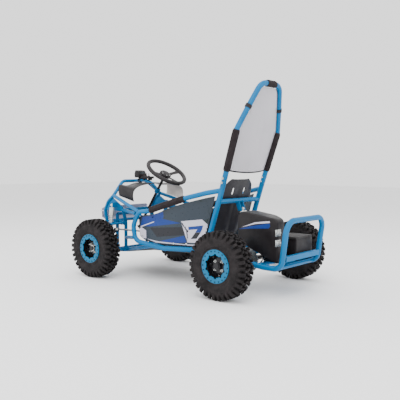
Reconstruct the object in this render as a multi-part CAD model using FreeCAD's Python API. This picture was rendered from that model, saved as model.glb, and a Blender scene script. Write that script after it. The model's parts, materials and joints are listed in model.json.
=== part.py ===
import FreeCAD, Part

import math
import os

from FreeCAD import Vector

# Off-road kart chassis, millimetres. It is drawn with X forward, Y left and Z up from the ground
# point under the rear axle. save() then moves the origin to the ground in the middle of its length.

WHEELBASE = 895.0
AXLE_Z = 165.0
TYRE_R = 165.0
TYRE_HALF_W = 48.0
FRONT_WHEEL_Y = 358.0
REAR_WHEEL_Y = 350.0
BEAD_SEAT_R = 76.0
NOSE_X = 1066.0

HOOP_OD = 28.0
RAIL_OD = 26.0
FRONT_OD = 20.0
WALL = 2.0
BEND = 60.0

# The roll hoop lies in one plane that leans back as it rises.
HOOP_LEAN = 0.32
HOOP_FOOT_X = 147.0
HOOP_FOOT_Z = 455.0
HOOP_SPLIT_Z = 536.0
SPIGOT_R = 11.95
BOLT_R = 4.0

BUMPER_X = -257.0
BUMPER_Z = 378.0
BUMPER_Y = 178.0
SWING_X = 192.0
SWING_Z = 184.0
RAIL_Y = 175.0

# Steering: the column runs down and forward from the wheel's centre.
COLUMN_TOP = Vector(675.0, 0.0, 597.0)
COLUMN_DIR = Vector(0.556, 0.0, -0.831).normalize()
COLUMN_LENGTH = 405.0
COLUMN_R = 8.0
WHEEL_R = 116.0
PITMAN = 60.0
TIE_Y = 14.0
BALL_R = 7.5

# Front suspension: two equal, level arms make a parallelogram with the kingpin.
ARM_X = WHEELBASE
ARM_IN_Y = 174.0
ARM_OUT_Y = 287.0
LOW_ARM_Z = 140.0
UP_ARM_Z = 296.0
PIVOT_R = 5.0
SLACK = 0.05
EYE_BORE_R = 6.2
STEER_ARM = 100.0
TIE_Z = 274.0
SHOCK_TOP = Vector(ARM_X, 227.0, 402.0)
SHOCK_EYE = Vector(ARM_X, 256.0, 162.0)

REAR_SHOCK_TOP = Vector(128.0, 0.0, 408.0)
REAR_SHOCK_EYE = Vector(72.0, 0.0, 214.0)
AXLE_R = 12.5
SPROCKET_Y = 125.0
CHAIN_PITCH = 8.0
SPROCKET_TEETH = 48
PINION_TEETH = 12
MOTOR_X = -112.0
MOTOR_Z = 222.0
DISC_Y = -130.0
PEDAL_X = 760.0

REAR_X = BUMPER_X - HOOP_OD / 2
CENTRE_X = (NOSE_X + REAR_X) / 2
X_AXIS = Vector(1, 0, 0)
Y_AXIS = Vector(0, 1, 0)
Z_AXIS = Vector(0, 0, 1)


def save(name, shape):
    """Write one sub-part, moved to the frame whose origin is mid-length on the ground."""
    moved = shape.copy()
    moved.translate(Vector(-CENTRE_X, 0, 0))
    moved.exportStep("parts/" + name + ".step")


def vec(point):
    return Vector(*point)


def mirrored(shape):
    return shape.mirror(Vector(0, 0, 0), Y_AXIS)


def flip(points):
    """The same points on the other side of the kart."""
    return [(x, -y, z) for x, y, z in points]


def both_sides(shape):
    return Part.makeCompound([shape, mirrored(shape)])


def hoop_x(z):
    return HOOP_FOOT_X - HOOP_LEAN * (z - HOOP_FOOT_Z)


def cylinder(start, end, radius):
    axis = end - start
    return Part.makeCylinder(radius, axis.Length, start, axis)


def ring(start, end, outer, inner):
    reach = (end - start).normalize()
    bore = cylinder(start - reach, end + reach, inner)
    return cylinder(start, end, outer).cut(bore)


def block(x0, x1, y0, y1, z0, z1):
    return Part.makeBox(x1 - x0, y1 - y0, z1 - z0, Vector(x0, y0, z0))


def prism(points, direction):
    """A flat closed outline pushed along a vector."""
    corners = [vec(p) for p in points]
    face = Part.Face(Part.makePolygon(corners + corners[:1]))
    return face.extrude(direction)


def path(points, bend):
    """Straight runs joined by tangent arcs of at most the given radius."""
    pts = [vec(p) for p in points]
    edges = []
    start = pts[0]
    for before, corner, after in zip(pts, pts[1:], pts[2:]):
        into = (corner - before).normalize()
        out = (after - corner).normalize()
        half = into.getAngle(out) / 2
        room = 0.45 * min((corner - before).Length, (after - corner).Length)
        radius = min(bend, room / math.tan(half))
        trim = radius * math.tan(half)
        inward = (out - into).normalize()
        middle = corner + inward * (radius / math.cos(half) - radius)
        arc_start = corner - into * trim
        arc_end = corner + out * trim
        edges.append(Part.LineSegment(start, arc_start).toShape())
        edges.append(Part.Arc(arc_start, middle, arc_end).toShape())
        start = arc_end
    edges.append(Part.LineSegment(start, pts[-1]).toShape())
    return Part.Wire(edges)


def rod(points, radius, bend=BEND):
    """A round bar that follows the path."""
    pts = [vec(p) for p in points]
    circle = Part.makeCircle(radius, pts[0], pts[1] - pts[0])
    return path(points, bend).makePipeShell([Part.Wire([circle])], True, False)


def shortened(points, closed_ends):
    """The path with its capped ends drawn in by one wall."""
    pts = [vec(p) for p in points]
    if closed_ends[0]:
        pts[0] = pts[0] + (pts[1] - pts[0]).normalize() * WALL
    if closed_ends[1]:
        pts[-1] = pts[-1] + (pts[-2] - pts[-1]).normalize() * WALL
    return [tuple(p) for p in pts]


def weld(tubes):
    """Fuse tubes into one frame. Each tube is (points, diameter, capped ends).
    Returns the frame's outer body and the same body with its bores removed."""
    outer = None
    bores = None
    for points, diameter, closed_ends in tubes:
        body = rod(points, diameter / 2)
        bore = rod(shortened(points, closed_ends), diameter / 2 - WALL)
        outer = body if outer is None else outer.fuse(body)
        bores = bore if bores is None else bores.fuse(bore)
    return outer, outer.cut(bores)


def lathe(profile, y):
    """Turn (radius, offset) points about the Y axis; place_wheel moves the result to its axle."""
    corners = [Vector(0, y + offset, radius) for radius, offset in profile]
    face = Part.Face(Part.makePolygon(corners + corners[:1]))
    return face.revolve(Vector(0, 0, 0), Y_AXIS, 360)


def toothed(teeth, y0, y1, bore):
    """A roller-chain wheel with round tooth gaps."""
    pitch_r = CHAIN_PITCH / (2 * math.sin(math.pi / teeth))
    disc = ring(Vector(0, y0, 0), Vector(0, y1, 0), pitch_r + 2.0, bore)
    gaps = []
    for tooth in range(teeth):
        turn = 2 * math.pi * tooth / teeth
        centre = Vector(pitch_r * math.cos(turn), y0 - 1, pitch_r * math.sin(turn))
        gaps.append(Part.makeCylinder(2.5, y1 - y0 + 2, centre, Y_AXIS))
    return disc.cut(Part.makeCompound(gaps))


def hex_bolt(point, direction, length):
    """A hexagon-headed bolt whose head bears at the point and whose shank runs along direction."""
    away = Vector(direction).normalize()
    shank = cylinder(point, point + away * length, BOLT_R)
    side = Vector(0, 0, 1) if abs(away.z) < 0.9 else Vector(1, 0, 0)
    across = away.cross(side).normalize() * 7.5
    corners = []
    for step in range(6):
        turned = FreeCAD.Rotation(away, 60 * step).multVec(across)
        corners.append(point + turned)
    face = Part.Face(Part.makePolygon(corners + corners[:1]))
    return shank.fuse(face.extrude(away * -5.5))


# ---------------------------------------------------------------- frame

def hoop_point(y, z):
    return (hoop_x(z), y, z)


LEG_Y = 178.0
LEG_FOOT = hoop_point(LEG_Y, 176.0)
LEG_HEAD = hoop_point(LEG_Y, HOOP_SPLIT_Z)
CROSSBAR_Z = 452.0
HOOP_START = hoop_point(LEG_Y, HOOP_SPLIT_Z + 1)
HOOP_SHOULDER = hoop_point(189.0, 815.0)
HOOP_STRAP = hoop_point(142.0, 926.0)
HOOP_CORNER = hoop_point(84.0, 1050.0)
HOOP_RISE = (vec(HOOP_SHOULDER) - vec(HOOP_START)).normalize()
NOSE_JOINT = (915.0, 200.0, 457.0)
SIDE_CORNER = (646.0, 260.0, 378.0)
PAD_BEND = (450.0, 260.0, 425.0)
SIDE_PATH = [
    hoop_point(LEG_Y, 511.0), (206.0, 205.0, 496.0), (300.0, 245.0, 470.0), PAD_BEND,
    (570.0, 260.0, 387.0), SIDE_CORNER, (690.0, 256.0, 300.0), (678.0, 255.0, 216.0),
    (540.0, 250.0, 197.0), (469.0, 238.0, 189.0), (289.0, 200.0, 194.0),
    hoop_point(LEG_Y, 194.0),
]
FLOOR_RAIL = [(540.0, 250.0, 197.0), (840.0, 150.0, 139.0), (960.0, 150.0, 128.0)]
PEDAL_SHAFT = (PEDAL_X, 176.7, 154.5)


def eared_pin(x0, x1, y, z, root_y, radius):
    """Two plates joined to the frame at root_y, with a pin along X between them."""
    ears = []
    for x in (x0 - 3.0, x1):
        outline = [(x, root_y, z - 12), (x, y + 10, z - 12), (x, y + 10, z + 12), (x, root_y, z + 12)]
        ears.append(prism(outline, X_AXIS * 3.0))
    pin = cylinder(Vector(x0 - 5.0, y, z), Vector(x1 + 5.0, y, z), radius)
    return ears[0].fuse([ears[1], pin])


def column_point(distance):
    return COLUMN_TOP + COLUMN_DIR * distance


def hoop_base():
    tubes = []
    for side in (1, -1):
        foot, head = [(x, side * y, z) for x, y, z in (LEG_FOOT, LEG_HEAD)]
        tubes.append(([foot, head], HOOP_OD, (True, False)))
    for z in (CROSSBAR_Z, 194.0):
        tubes.append(([hoop_point(-LEG_Y, z), hoop_point(LEG_Y, z)], RAIL_OD - 1, (False, False)))
    outer, frame = weld(tubes)
    start = vec(HOOP_START)
    spigot = ring(start - HOOP_RISE * 28, start + HOOP_RISE * 55, SPIGOT_R, SPIGOT_R - 3)
    plug = ring(start - HOOP_RISE * 27, start - HOOP_RISE, 12.7, SPIGOT_R - 2)
    frame = frame.fuse([spigot, plug, mirrored(spigot), mirrored(plug)])
    top_x = hoop_x(CROSSBAR_Z)
    ear = prism([(top_x - 13, 15, 452), (116, 15, 398), (140, 15, 398), (top_x + 13, 15, 452)], Y_AXIS * 4)
    pin = cylinder(REAR_SHOCK_TOP - Y_AXIS * 23, REAR_SHOCK_TOP + Y_AXIS * 23, PIVOT_R)
    ears = [ear, mirrored(ear)]
    for y in (120.5, 155.5):
        lug = prism([(178, y, 174), (184, y, 200), (228, y, 206), (228, y, 184)], Y_AXIS * 4)
        ears += [lug, mirrored(lug)]
    swing_pin = cylinder(Vector(SWING_X, 118, SWING_Z), Vector(SWING_X, 162, SWING_Z), 6.0)
    bores = Part.makeCompound([rod([hoop_point(-LEG_Y, z), hoop_point(LEG_Y, z)], RAIL_OD / 2 - 0.5 - WALL)
                               for z in (CROSSBAR_Z, 194.0)])
    ears = Part.makeCompound(ears).cut(bores)
    return outer, frame.fuse([ears, pin, swing_pin, mirrored(swing_pin)])


def side_frame():
    return weld([(SIDE_PATH, RAIL_OD, (False, False))])


def floor_frame():
    rail = FLOOR_RAIL + flip(FLOOR_RAIL)[::-1]
    tubes = [(rail, 22.0, (False, False))]
    for x, y, z in ((289.0, 200.0, 194.0), (469.0, 238.0, 189.0)):
        tubes.append(([(x, -y, z), (x, y, z)], 22.0, (False, False)))
    x, y, z = PEDAL_SHAFT
    tubes.append(([(x, -y, z), (x, y, z)], 16.0, (False, False)))
    return weld(tubes)


def front_hoop():
    x, y, z = NOSE_JOINT
    tubes = [([NOSE_JOINT, (945, 98, 540), (945, -98, 540), (x, -y, z)], FRONT_OD, (True, True))]
    for diagonal in ([NOSE_JOINT, SIDE_CORNER], flip([NOSE_JOINT, SIDE_CORNER])):
        tubes.append((diagonal, FRONT_OD, (False, False)))
    stay = [(945, 0, 540), (860, 0, 546), (800, 0, 530), (757, 0, 494)]
    tubes.append((stay, FRONT_OD, (False, False)))
    outer, frame = weld(tubes)
    bearing = cylinder(column_point(122), column_point(148), 15.0)
    frame = frame.fuse(bearing).cut(cylinder(column_point(60), column_point(200), COLUMN_R + SLACK))
    return outer, frame


def front_bulkhead():
    left = [
        ([(864, 150, 137), (864, 150, 300), (847, 190, 376)], (False, False)),
        ([(938, 150, 130), (938, 150, 345)], (False, False)),
        ([(864, 150, 300), (950, 150, 300), (985, 190, 300)], (False, False)),
        ([NOSE_JOINT, (962, 200, 420), (994, 198, 365), (985, 190, 300), (966, 160, 200),
          (960, 150, 128)], (False, False)),
        ([(668, 258.5, 366), (847, 190, 376)], (False, False)),
        ([(686, 255, 232), (864, 150, 208)], (False, False)),
    ]
    tubes = []
    for points, ends in left:
        tubes += [(points, FRONT_OD, ends), (flip(points), FRONT_OD, ends)]
    for x, y, z in ((847, 190, 376), (985, 190, 300), (938, 150, 345)):
        tubes.append(([(x, -y, z), (x, y, z)], FRONT_OD - 2, (False, False)))
    outer, frame = weld(tubes)
    fittings = []
    for z in (LOW_ARM_Z, UP_ARM_Z):
        for x in (ARM_X - 35, ARM_X + 35):
            fittings.append(eared_pin(x - 11, x + 11, ARM_IN_Y, z, 155.0, PIVOT_R))
    tower = [(836, 197, 368), (975, 197, 368), (985, 197, 395), (925, 197, 446), (836, 197, 392)]
    fittings.append(prism(tower, Y_AXIS * 4))
    fittings.append(eared_pin(ARM_X - 9, ARM_X + 9, SHOCK_TOP.y, SHOCK_TOP.z, 199.0, PIVOT_R))
    fittings += [mirrored(fitting) for fitting in fittings]
    bearing = cylinder(column_point(335), column_point(358), 14.0)
    arm = prism([(862, -4, 322), (874, -4, 318), (938, -4, 338), (938, -4, 352)], Y_AXIS * 8)
    frame = frame.fuse(fittings + [bearing, arm])
    return outer, frame.cut(cylinder(column_point(300), column_point(380), COLUMN_R + SLACK))


def roll_hoop():
    half = [HOOP_START, HOOP_SHOULDER, HOOP_STRAP, HOOP_CORNER]
    return weld([(half + flip(half)[::-1], HOOP_OD, (False, False))])[1]


def hoop_bolts():
    bolts = []
    for rise in (15.0, 38.0):
        point = vec(HOOP_START) + HOOP_RISE * rise + Y_AXIS * (HOOP_OD / 2 + 0.4)
        bolts.append(hex_bolt(point, -Y_AXIS, 34.0))
    return [bolt for left in bolts for bolt in (left, mirrored(left))]


def seat_bolts():
    return [hex_bolt(Vector(x, y, 210.2), -Z_AXIS, 20.0) for x in (289.0, 469.0) for y in (-90.0, 90.0)]


# ---------------------------------------------------------------- body

def floor_pan():
    top = [(246, 0, 175.8), (540, 0, 175.8), (840, 0, 127.6), (958, 0, 116.8)]
    sheet = prism(top + [(x, y, z - 2) for x, y, z in reversed(top)], Y_AXIS * 520)
    sheet.translate(-Y_AXIS * 260)
    edge = [(246, 168, 100), (289, 192, 100), (469, 230, 100), (540, 242, 100), (840, 154, 100),
            (958, 154, 100)]
    return sheet.common(prism(edge + flip(edge)[::-1], Z_AXIS * 120))


def arch(x, half_width, foot_y, foot_z, top_z, inset):
    """One cross-section of the cowl, drawn inside the given size by inset."""
    wide = half_width - inset
    high = top_z - inset
    side = [(x, foot_y - inset, foot_z), (x, wide, foot_z + 32), (x, wide - 6, foot_z + 62),
            (x, wide - 50, high - 14), (x, wide * 0.45, high - 3)]
    curve = Part.BSplineCurve()
    curve.interpolate([vec(p) for p in side + [(x, 0, high)] + flip(side)[::-1]])
    top = curve.toShape()
    base = Part.LineSegment(top.Vertexes[-1].Point, top.Vertexes[0].Point).toShape()
    return Part.Wire([top, base])


def cowl():
    """The dash cowl: an arched shell over the driver's shins, notched for the steering column."""
    rear, front = 735.0, 862.0
    outer = Part.makeLoft([arch(rear, 217, 206, 428, 531, 0), arch(front, 210, 204, 457, 531, 0)], True)
    inner = Part.makeLoft([arch(rear - 1, 217, 206, 425, 531, 3), arch(front + 1, 210, 204, 454, 531, 3)],
                          True)
    notch = block(rear - 5, 850, -30, 30, 440, 540)
    return outer.cut(inner).cut(notch)


def nose_panel():
    """A folded nose with two tabs that reach back to the front tubes."""
    front = [(1018, 0, 389), (NOSE_X, 0, 318), (1020, 0, 286)]
    back = [(1018.3, 0, 288.5), (NOSE_X - 4.2, 0, 318.8), (1015.5, 0, 387.3)]
    sheet = prism(front + back, Y_AXIS * 400)
    sheet.translate(-Y_AXIS * 200)
    face = [(900, 150, 400), (900, 196, 375), (900, 150, 300), (900, 120, 280)]
    tab = block(1004.4, 1032, 170, 199, 359, 365)
    return sheet.common(prism(face + flip(face)[::-1], X_AXIS * 200)).fuse([tab, mirrored(tab)])


def seat_shell():
    """A bucket seat: an outer block with the sitting space taken out, narrower at the shoulders."""
    outer = [(252, 0, 205.2), (480, 0, 205.2), (500, 0, 262), (300, 0, 300), (245, 0, 340),
             (192, 0, 500), (172, 0, 568), (122, 0, 568), (150, 0, 500), (170, 0, 440), (200, 0, 300)]
    inner = [(258, 0, 210.2), (470, 0, 210.2), (520, 0, 250), (520, 0, 600), (132, 0, 600),
             (158, 0, 500), (178, 0, 440), (208, 0, 300)]
    shell = prism(outer, Y_AXIS * 310)
    shell.translate(-Y_AXIS * 155)
    space = prism(inner, Y_AXIS * 290)
    space.translate(-Y_AXIS * 145)
    face = [(100, 155, 200), (100, 155, 380), (100, 118, 480), (100, 97, 570)]
    shell = shell.cut(space).common(prism(face + flip(face)[::-1], X_AXIS * 450))
    for y in (-54, 44):
        shell = shell.cut(block(100, 260, y, y + 10, 486, 518))
    return shell


def side_panel():
    """A thin panel on the inner side of one side frame, ruled between its rails."""
    inward = RAIL_OD / 2 + 2.5
    above = [(172, 193, 480), (240, 219, 464), (300, 245, 447), (450, 260, 402), (570, 260, 365), (636, 260, 356),
             (660, 258.5, 342)]
    below = [(250, 192, 206), (289, 201, 207), (469, 238, 202), (540, 250, 212), (620, 254, 224),
             (652, 256, 244)]
    wires = []
    for points in (above, below):
        curve = Part.BSplineCurve()
        curve.interpolate([Vector(x, y - inward, z) for x, y, z in points])
        wires.append(curve.toShape())
    return Part.makeRuledSurface(wires[0], wires[1]).extrude(-Y_AXIS * 3)


def rail_pad():
    front, rear = SIDE_PATH[4], SIDE_PATH[2]
    bend = vec(PAD_BEND)
    ends = [bend + (vec(end) - bend) * 0.9 for end in (front, rear)]
    pad = rod([tuple(ends[0]), PAD_BEND, tuple(ends[1])], 19.0)
    return pad.cut(rod([front, PAD_BEND, rear], RAIL_OD / 2 + SLACK))


def hoop_pads():
    start, end = vec(HOOP_START), vec(HOOP_SHOULDER)
    bore = HOOP_OD / 2 + SLACK
    leg = ring(start + HOOP_RISE * 74, end - HOOP_RISE * 30, 18.5, bore)
    corner = vec(HOOP_CORNER)
    bar = ring(Vector(corner.x, -44, corner.z), Vector(corner.x, 44, corner.z), 18.5, bore)
    return Part.makeCompound([leg, mirrored(leg), bar])


def net():
    edge = [hoop_point(160, 612), hoop_point(164, 800), hoop_point(118, 915), hoop_point(52, 1024)]
    lean = Vector(1, 0, HOOP_LEAN).normalize()
    return prism(edge + flip(edge)[::-1], lean * 2)


def display_box():
    case = block(873, 917, -32, 32, 560, 606)
    case = case.makeFillet(6, case.Edges)
    clamp = ring(Vector(883, 0, 544.4), Vector(907, 0, 542.7), 13.5, FRONT_OD / 2 + 0.2)
    post = block(885, 905, -7, 7, 550, 562).cut(cylinder(Vector(870, 0, 545.3), Vector(920, 0, 541.8), 13.5))
    return case.fuse([clamp, post])


# ---------------------------------------------------------------- steering and pedals

def steering_wheel():
    hub_top = column_point(8)
    hub = cylinder(hub_top, column_point(26), 34.0)
    rim = Part.makeTorus(WHEEL_R, 12.0, COLUMN_TOP, COLUMN_DIR)
    spokes = []
    for turn in (0, 180, 270):
        out = FreeCAD.Rotation(COLUMN_DIR, turn).multVec(Y_AXIS)
        wide = COLUMN_DIR.cross(out) * 12
        root = column_point(20) + out * 26
        tip = column_point(3) + out * (WHEEL_R - 4)
        outline = [root - wide, root + wide, tip + wide * 0.8, tip - wide * 0.8]
        spokes.append(prism([tuple(p) for p in outline], COLUMN_DIR * 6))
    return rim.fuse([hub] + spokes).cut(cylinder(column_point(0), column_point(40), COLUMN_R))


def pitman_ball(side):
    reach = Y_AXIS.cross(COLUMN_DIR)
    return column_point(COLUMN_LENGTH) + reach * PITMAN + Y_AXIS * (side * TIE_Y)


def steering_column():
    end = column_point(COLUMN_LENGTH)
    shaft = cylinder(column_point(8.5), end + COLUMN_DIR * 6, COLUMN_R)
    reach = Y_AXIS.cross(COLUMN_DIR)
    corners = [end - Y_AXIS * 12 - reach * 10, end + Y_AXIS * 12 - reach * 10,
               end + Y_AXIS * 24 + reach * (PITMAN + 10), end - Y_AXIS * 24 + reach * (PITMAN + 10)]
    plate = prism([tuple(p) for p in corners], COLUMN_DIR * 6)
    studs = [cylinder(pitman_ball(side) - COLUMN_DIR * 12, pitman_ball(side) + COLUMN_DIR * 2, 4.0)
             for side in (1, -1)]
    return shaft.fuse([plate] + studs)


def tie_ends(side):
    """Inner and outer centres of one tie rod."""
    inner = pitman_ball(side) - COLUMN_DIR * 6
    return inner, Vector(ARM_X - STEER_ARM, side * ARM_OUT_Y, TIE_Z)


def tie_end(side):
    """The ball of the inner rod end, bored for the stud on the column's plate."""
    inner = tie_ends(side)[0]
    ball = Part.makeSphere(BALL_R, inner).common(cylinder(inner - COLUMN_DIR * 5, inner + COLUMN_DIR * 5, 9.0))
    return ball.cut(cylinder(inner - COLUMN_DIR * 8, inner + COLUMN_DIR * 8, 4.0 + SLACK))


def tie_rod(side):
    inner, outer = tie_ends(side)
    out = (outer - inner).normalize()
    socket = cylinder(inner - COLUMN_DIR * 3.5, inner + COLUMN_DIR * 3.5, 11.5)
    socket = socket.fuse(cylinder(inner + out * 8, inner + out * 34, 4.0))
    socket = socket.cut(Part.makeSphere(BALL_R + SLACK, inner))
    bar = cylinder(inner + out * 31, outer - out * 14, 5.0).fuse(socket)
    eye = ring(outer - Z_AXIS * 5, outer + Z_AXIS * 5, 16.5, 12.3)
    return bar.fuse(eye).cut(cylinder(outer - Z_AXIS * 9, outer + Z_AXIS * 9, 12.3))


def pedal(y):
    x, _, z = PEDAL_SHAFT
    sleeve = cylinder(Vector(x, y - 16, z), Vector(x, y + 16, z), 12.0)
    arm = prism([(x - 7, y - 4, z), (x + 7, y - 4, z), (x - 6, y - 4, z + 92), (x - 16, y - 4, z + 90)],
                Y_AXIS * 8)
    foot = prism([(x - 16, y - 28, z + 46), (x - 9, y - 28, z + 46), (x - 14, y - 28, z + 102),
                  (x - 21, y - 28, z + 102)], Y_AXIS * 56)
    shaft = cylinder(Vector(x, y - 20, z), Vector(x, y + 20, z), 8.0 + SLACK)
    return sleeve.fuse([arm, foot]).cut(shaft)


# ---------------------------------------------------------------- suspension

def arm_bushes(z, radius):
    bushes = []
    for x in (ARM_X - 35, ARM_X + 35):
        bushes.append(cylinder(Vector(x - 10.6, ARM_IN_Y, z), Vector(x + 10.6, ARM_IN_Y, z), radius))
    return bushes


def arm_bores(z):
    return cylinder(Vector(ARM_X - 60, ARM_IN_Y, z), Vector(ARM_X + 60, ARM_IN_Y, z), PIVOT_R + SLACK)


def fork(y0, z0, z1, z):
    """Two plates that hold the kingpin's boss, with the bolt through both."""
    plates = [block(ARM_X + x, ARM_X + x + 4, y0, ARM_OUT_Y + 12, z0, z1) for x in (-13.5, 9.5)]
    bolt = cylinder(Vector(ARM_X - 17, ARM_OUT_Y, z), Vector(ARM_X + 17, ARM_OUT_Y, z), PIVOT_R)
    return plates + [bolt]


def lower_arm():
    z = LOW_ARM_Z
    pieces = arm_bushes(z, 9.0) + fork(246.0, z - 11, z + 11, z)
    for side in (-1, 1):
        start = Vector(ARM_X + side * 35, ARM_IN_Y + 4, z)
        pieces.append(cylinder(start, Vector(ARM_X + side * 12, 268, z), 8.0))
    eye = SHOCK_EYE
    for x in (-13.5, 9.5):
        pieces.append(block(ARM_X + x, ARM_X + x + 4, eye.y - 10, eye.y + 9, z + 5, eye.z + 9))
    pieces.append(cylinder(eye - X_AXIS * 17, eye + X_AXIS * 17, BOLT_R))
    bridge = block(ARM_X - 13, ARM_X + 13, eye.y - 8, eye.y + 6, z - 9, z - 3)
    return pieces[0].fuse(pieces[1:] + [bridge]).cut(arm_bores(z))


def upper_arm():
    z = UP_ARM_Z
    pieces = arm_bushes(z, 9.0) + fork(266.0, z - 11, z + 11, z)
    for side in (-1, 1):
        bend = (ARM_X + side * 35, 262, z)
        leg = [(ARM_X + side * 35, ARM_IN_Y + 4, z), bend, (ARM_X + side * 11, 276, z)]
        pieces.append(rod(leg, 7.0, 12.0))
    return pieces[0].fuse(pieces[1:]).cut(arm_bores(z))


def kingpin():
    pieces = []
    for z in (LOW_ARM_Z, UP_ARM_Z):
        pieces.append(cylinder(Vector(ARM_X - 9, ARM_OUT_Y, z), Vector(ARM_X + 9, ARM_OUT_Y, z), 11.0))
    pin = cylinder(Vector(ARM_X, ARM_OUT_Y, LOW_ARM_Z), Vector(ARM_X, ARM_OUT_Y, UP_ARM_Z), 7.0)
    bolt_hole = cylinder(Vector(ARM_X - 20, ARM_OUT_Y, LOW_ARM_Z), Vector(ARM_X + 20, ARM_OUT_Y, LOW_ARM_Z),
                         PIVOT_R + SLACK)
    upper_hole = bolt_hole.copy()
    upper_hole.translate(Z_AXIS * (UP_ARM_Z - LOW_ARM_Z))
    return pin.fuse(pieces).cut(bolt_hole).cut(upper_hole)


def knuckle():
    sleeve = cylinder(Vector(ARM_X, ARM_OUT_Y, 154), Vector(ARM_X, ARM_OUT_Y, 282), 11.4)
    stub = cylinder(Vector(ARM_X, ARM_OUT_Y, AXLE_Z), Vector(ARM_X, 386, AXLE_Z), 8.5)
    flange = cylinder(Vector(ARM_X, ARM_OUT_Y, AXLE_Z), Vector(ARM_X, 326, AXLE_Z), 13.0)
    nut = cylinder(Vector(ARM_X, 381.5, AXLE_Z), Vector(ARM_X, 390, AXLE_Z), 13.0)
    arm = block(ARM_X - STEER_ARM - 9, ARM_X - 8, ARM_OUT_Y - 8, ARM_OUT_Y + 8, TIE_Z - 15, TIE_Z - 9)
    stud = cylinder(Vector(ARM_X - STEER_ARM, ARM_OUT_Y, TIE_Z - 10),
                    Vector(ARM_X - STEER_ARM, ARM_OUT_Y, TIE_Z + 12), 3.0)
    bore = cylinder(Vector(ARM_X, ARM_OUT_Y, 150), Vector(ARM_X, ARM_OUT_Y, 286), 7.0 + SLACK)
    return sleeve.fuse([stub, flange, nut, arm, stud]).cut(bore)


def shock_body(top, eye, pin_axis, can_r, body_r, length):
    """The damper's can and tube, with its top eye and the spring's upper seat."""
    down = (eye - top).normalize()
    upper_eye = cylinder(top - pin_axis * 8, top + pin_axis * 8, 10.0)
    can = cylinder(top + down * 14, top + down * 56, can_r)
    neck = cylinder(top, top + down * 16, 7.0)
    seat = cylinder(top + down * 56, top + down * 61, can_r)
    tube = cylinder(top + down * 40, top + down * length, body_r)
    bore = cylinder(top + down * (length * 0.45), top + down * (length + 5), body_r * 0.45 + SLACK)
    pin_bore = cylinder(top - pin_axis * 20, top + pin_axis * 20, PIVOT_R + SLACK)
    return upper_eye.fuse([can, neck, seat, tube]).cut(bore).cut(pin_bore)


def shock_rod(top, eye, pin_axis, can_r, body_r, length):
    down = (eye - top).normalize()
    bar = cylinder(top + down * (length * 0.62), eye - down * 6, body_r * 0.45)
    seat = cylinder(eye - down * 22, eye - down * 17, can_r)
    neck = cylinder(eye - down * 17, eye - down * 6, 7.0)
    lower_eye = cylinder(eye - pin_axis * 7, eye + pin_axis * 7, 10.0)
    pin_bore = cylinder(eye - pin_axis * 20, eye + pin_axis * 20, EYE_BORE_R)
    return bar.fuse([seat, neck, lower_eye]).cut(pin_bore)


def shock_spring(top, eye, wire_r, coil_r, turns):
    """An open coil between the two seats."""
    down = (eye - top).normalize()
    height = (eye - top).Length - 22 - 61 - 2 * wire_r - 1
    helix = Part.makeHelix(height / turns, height, coil_r)
    start = Part.makeCircle(wire_r, Vector(coil_r, 0, 0), Vector(0, 1, 0))
    coil = Part.Wire(helix).makePipeShell([Part.Wire([start])], True, True)
    coil.Placement = FreeCAD.Placement(top + down * (61.5 + wire_r), FreeCAD.Rotation(Z_AXIS, down))
    return coil


# ---------------------------------------------------------------- wheels

def place_wheel(shape, x):
    moved = shape.copy()
    moved.translate(Vector(x, 0, AXLE_Z))
    return moved


def tyre(y):
    outside = [(BEAD_SEAT_R, 40), (84, 40), (96, 45), (112, TYRE_HALF_W), (134, TYRE_HALF_W), (150, 46),
               (161, 40), (TYRE_R, 28)]
    inside = [(BEAD_SEAT_R, 30), (86, 31), (98, 39), (112, 43), (134, 43), (148, 39), (152, 28)]
    profile = outside + [(r, -w) for r, w in reversed(outside)]
    profile += [(r, -w) for r, w in inside] + inside[::-1]
    return lathe(profile, y)


def rim(y, bore):
    """A pressed steel wheel: two flanges, a drop centre, a dished disc and a hub sleeve."""
    shell = [(84, 42), (84, 40), (76, 40), (76, 27), (68, 22), (68, -22), (76, -27), (76, -40), (84, -40),
             (84, -42), (73.5, -42), (73.5, -28.2), (65.5, -23.2), (65.5, 6), (34, 14), (20, 14),
             (20, -27), (bore, -27), (bore, 22), (20, 22), (20, 18), (35, 18), (65.5, 10), (65.5, 23.2),
             (73.5, 28.2), (73.5, 42)]
    disc = lathe(shell, y)
    holes = []
    for step in range(8):
        turn = math.pi * step / 4
        centre = Vector(50 * math.cos(turn), y, 50 * math.sin(turn))
        holes.append(Part.makeCylinder(6.0, 40, centre, Y_AXIS))
    return disc.cut(Part.makeCompound(holes))


def bead_ring(y):
    """The bolted ring over the outer bead, with a scalloped inner edge."""
    plate = lathe([(53, 42), (80, 42), (80, 45.5), (53, 45.5)], y)
    cuts = []
    for step in range(20):
        turn = 2 * math.pi * step / 20
        centre = Vector(73 * math.cos(turn), y + 40, 73 * math.sin(turn))
        cuts.append(Part.makeCylinder(2.6, 8, centre, Y_AXIS))
    for step in range(10):
        turn = 2 * math.pi * (step + 0.5) / 10
        centre = Vector(53 * math.cos(turn), y + 40, 53 * math.sin(turn))
        cuts.append(Part.makeCylinder(7.0, 8, centre, Y_AXIS))
    return plate.cut(Part.makeCompound(cuts))


# ---------------------------------------------------------------- rear swing arm and drive

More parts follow.
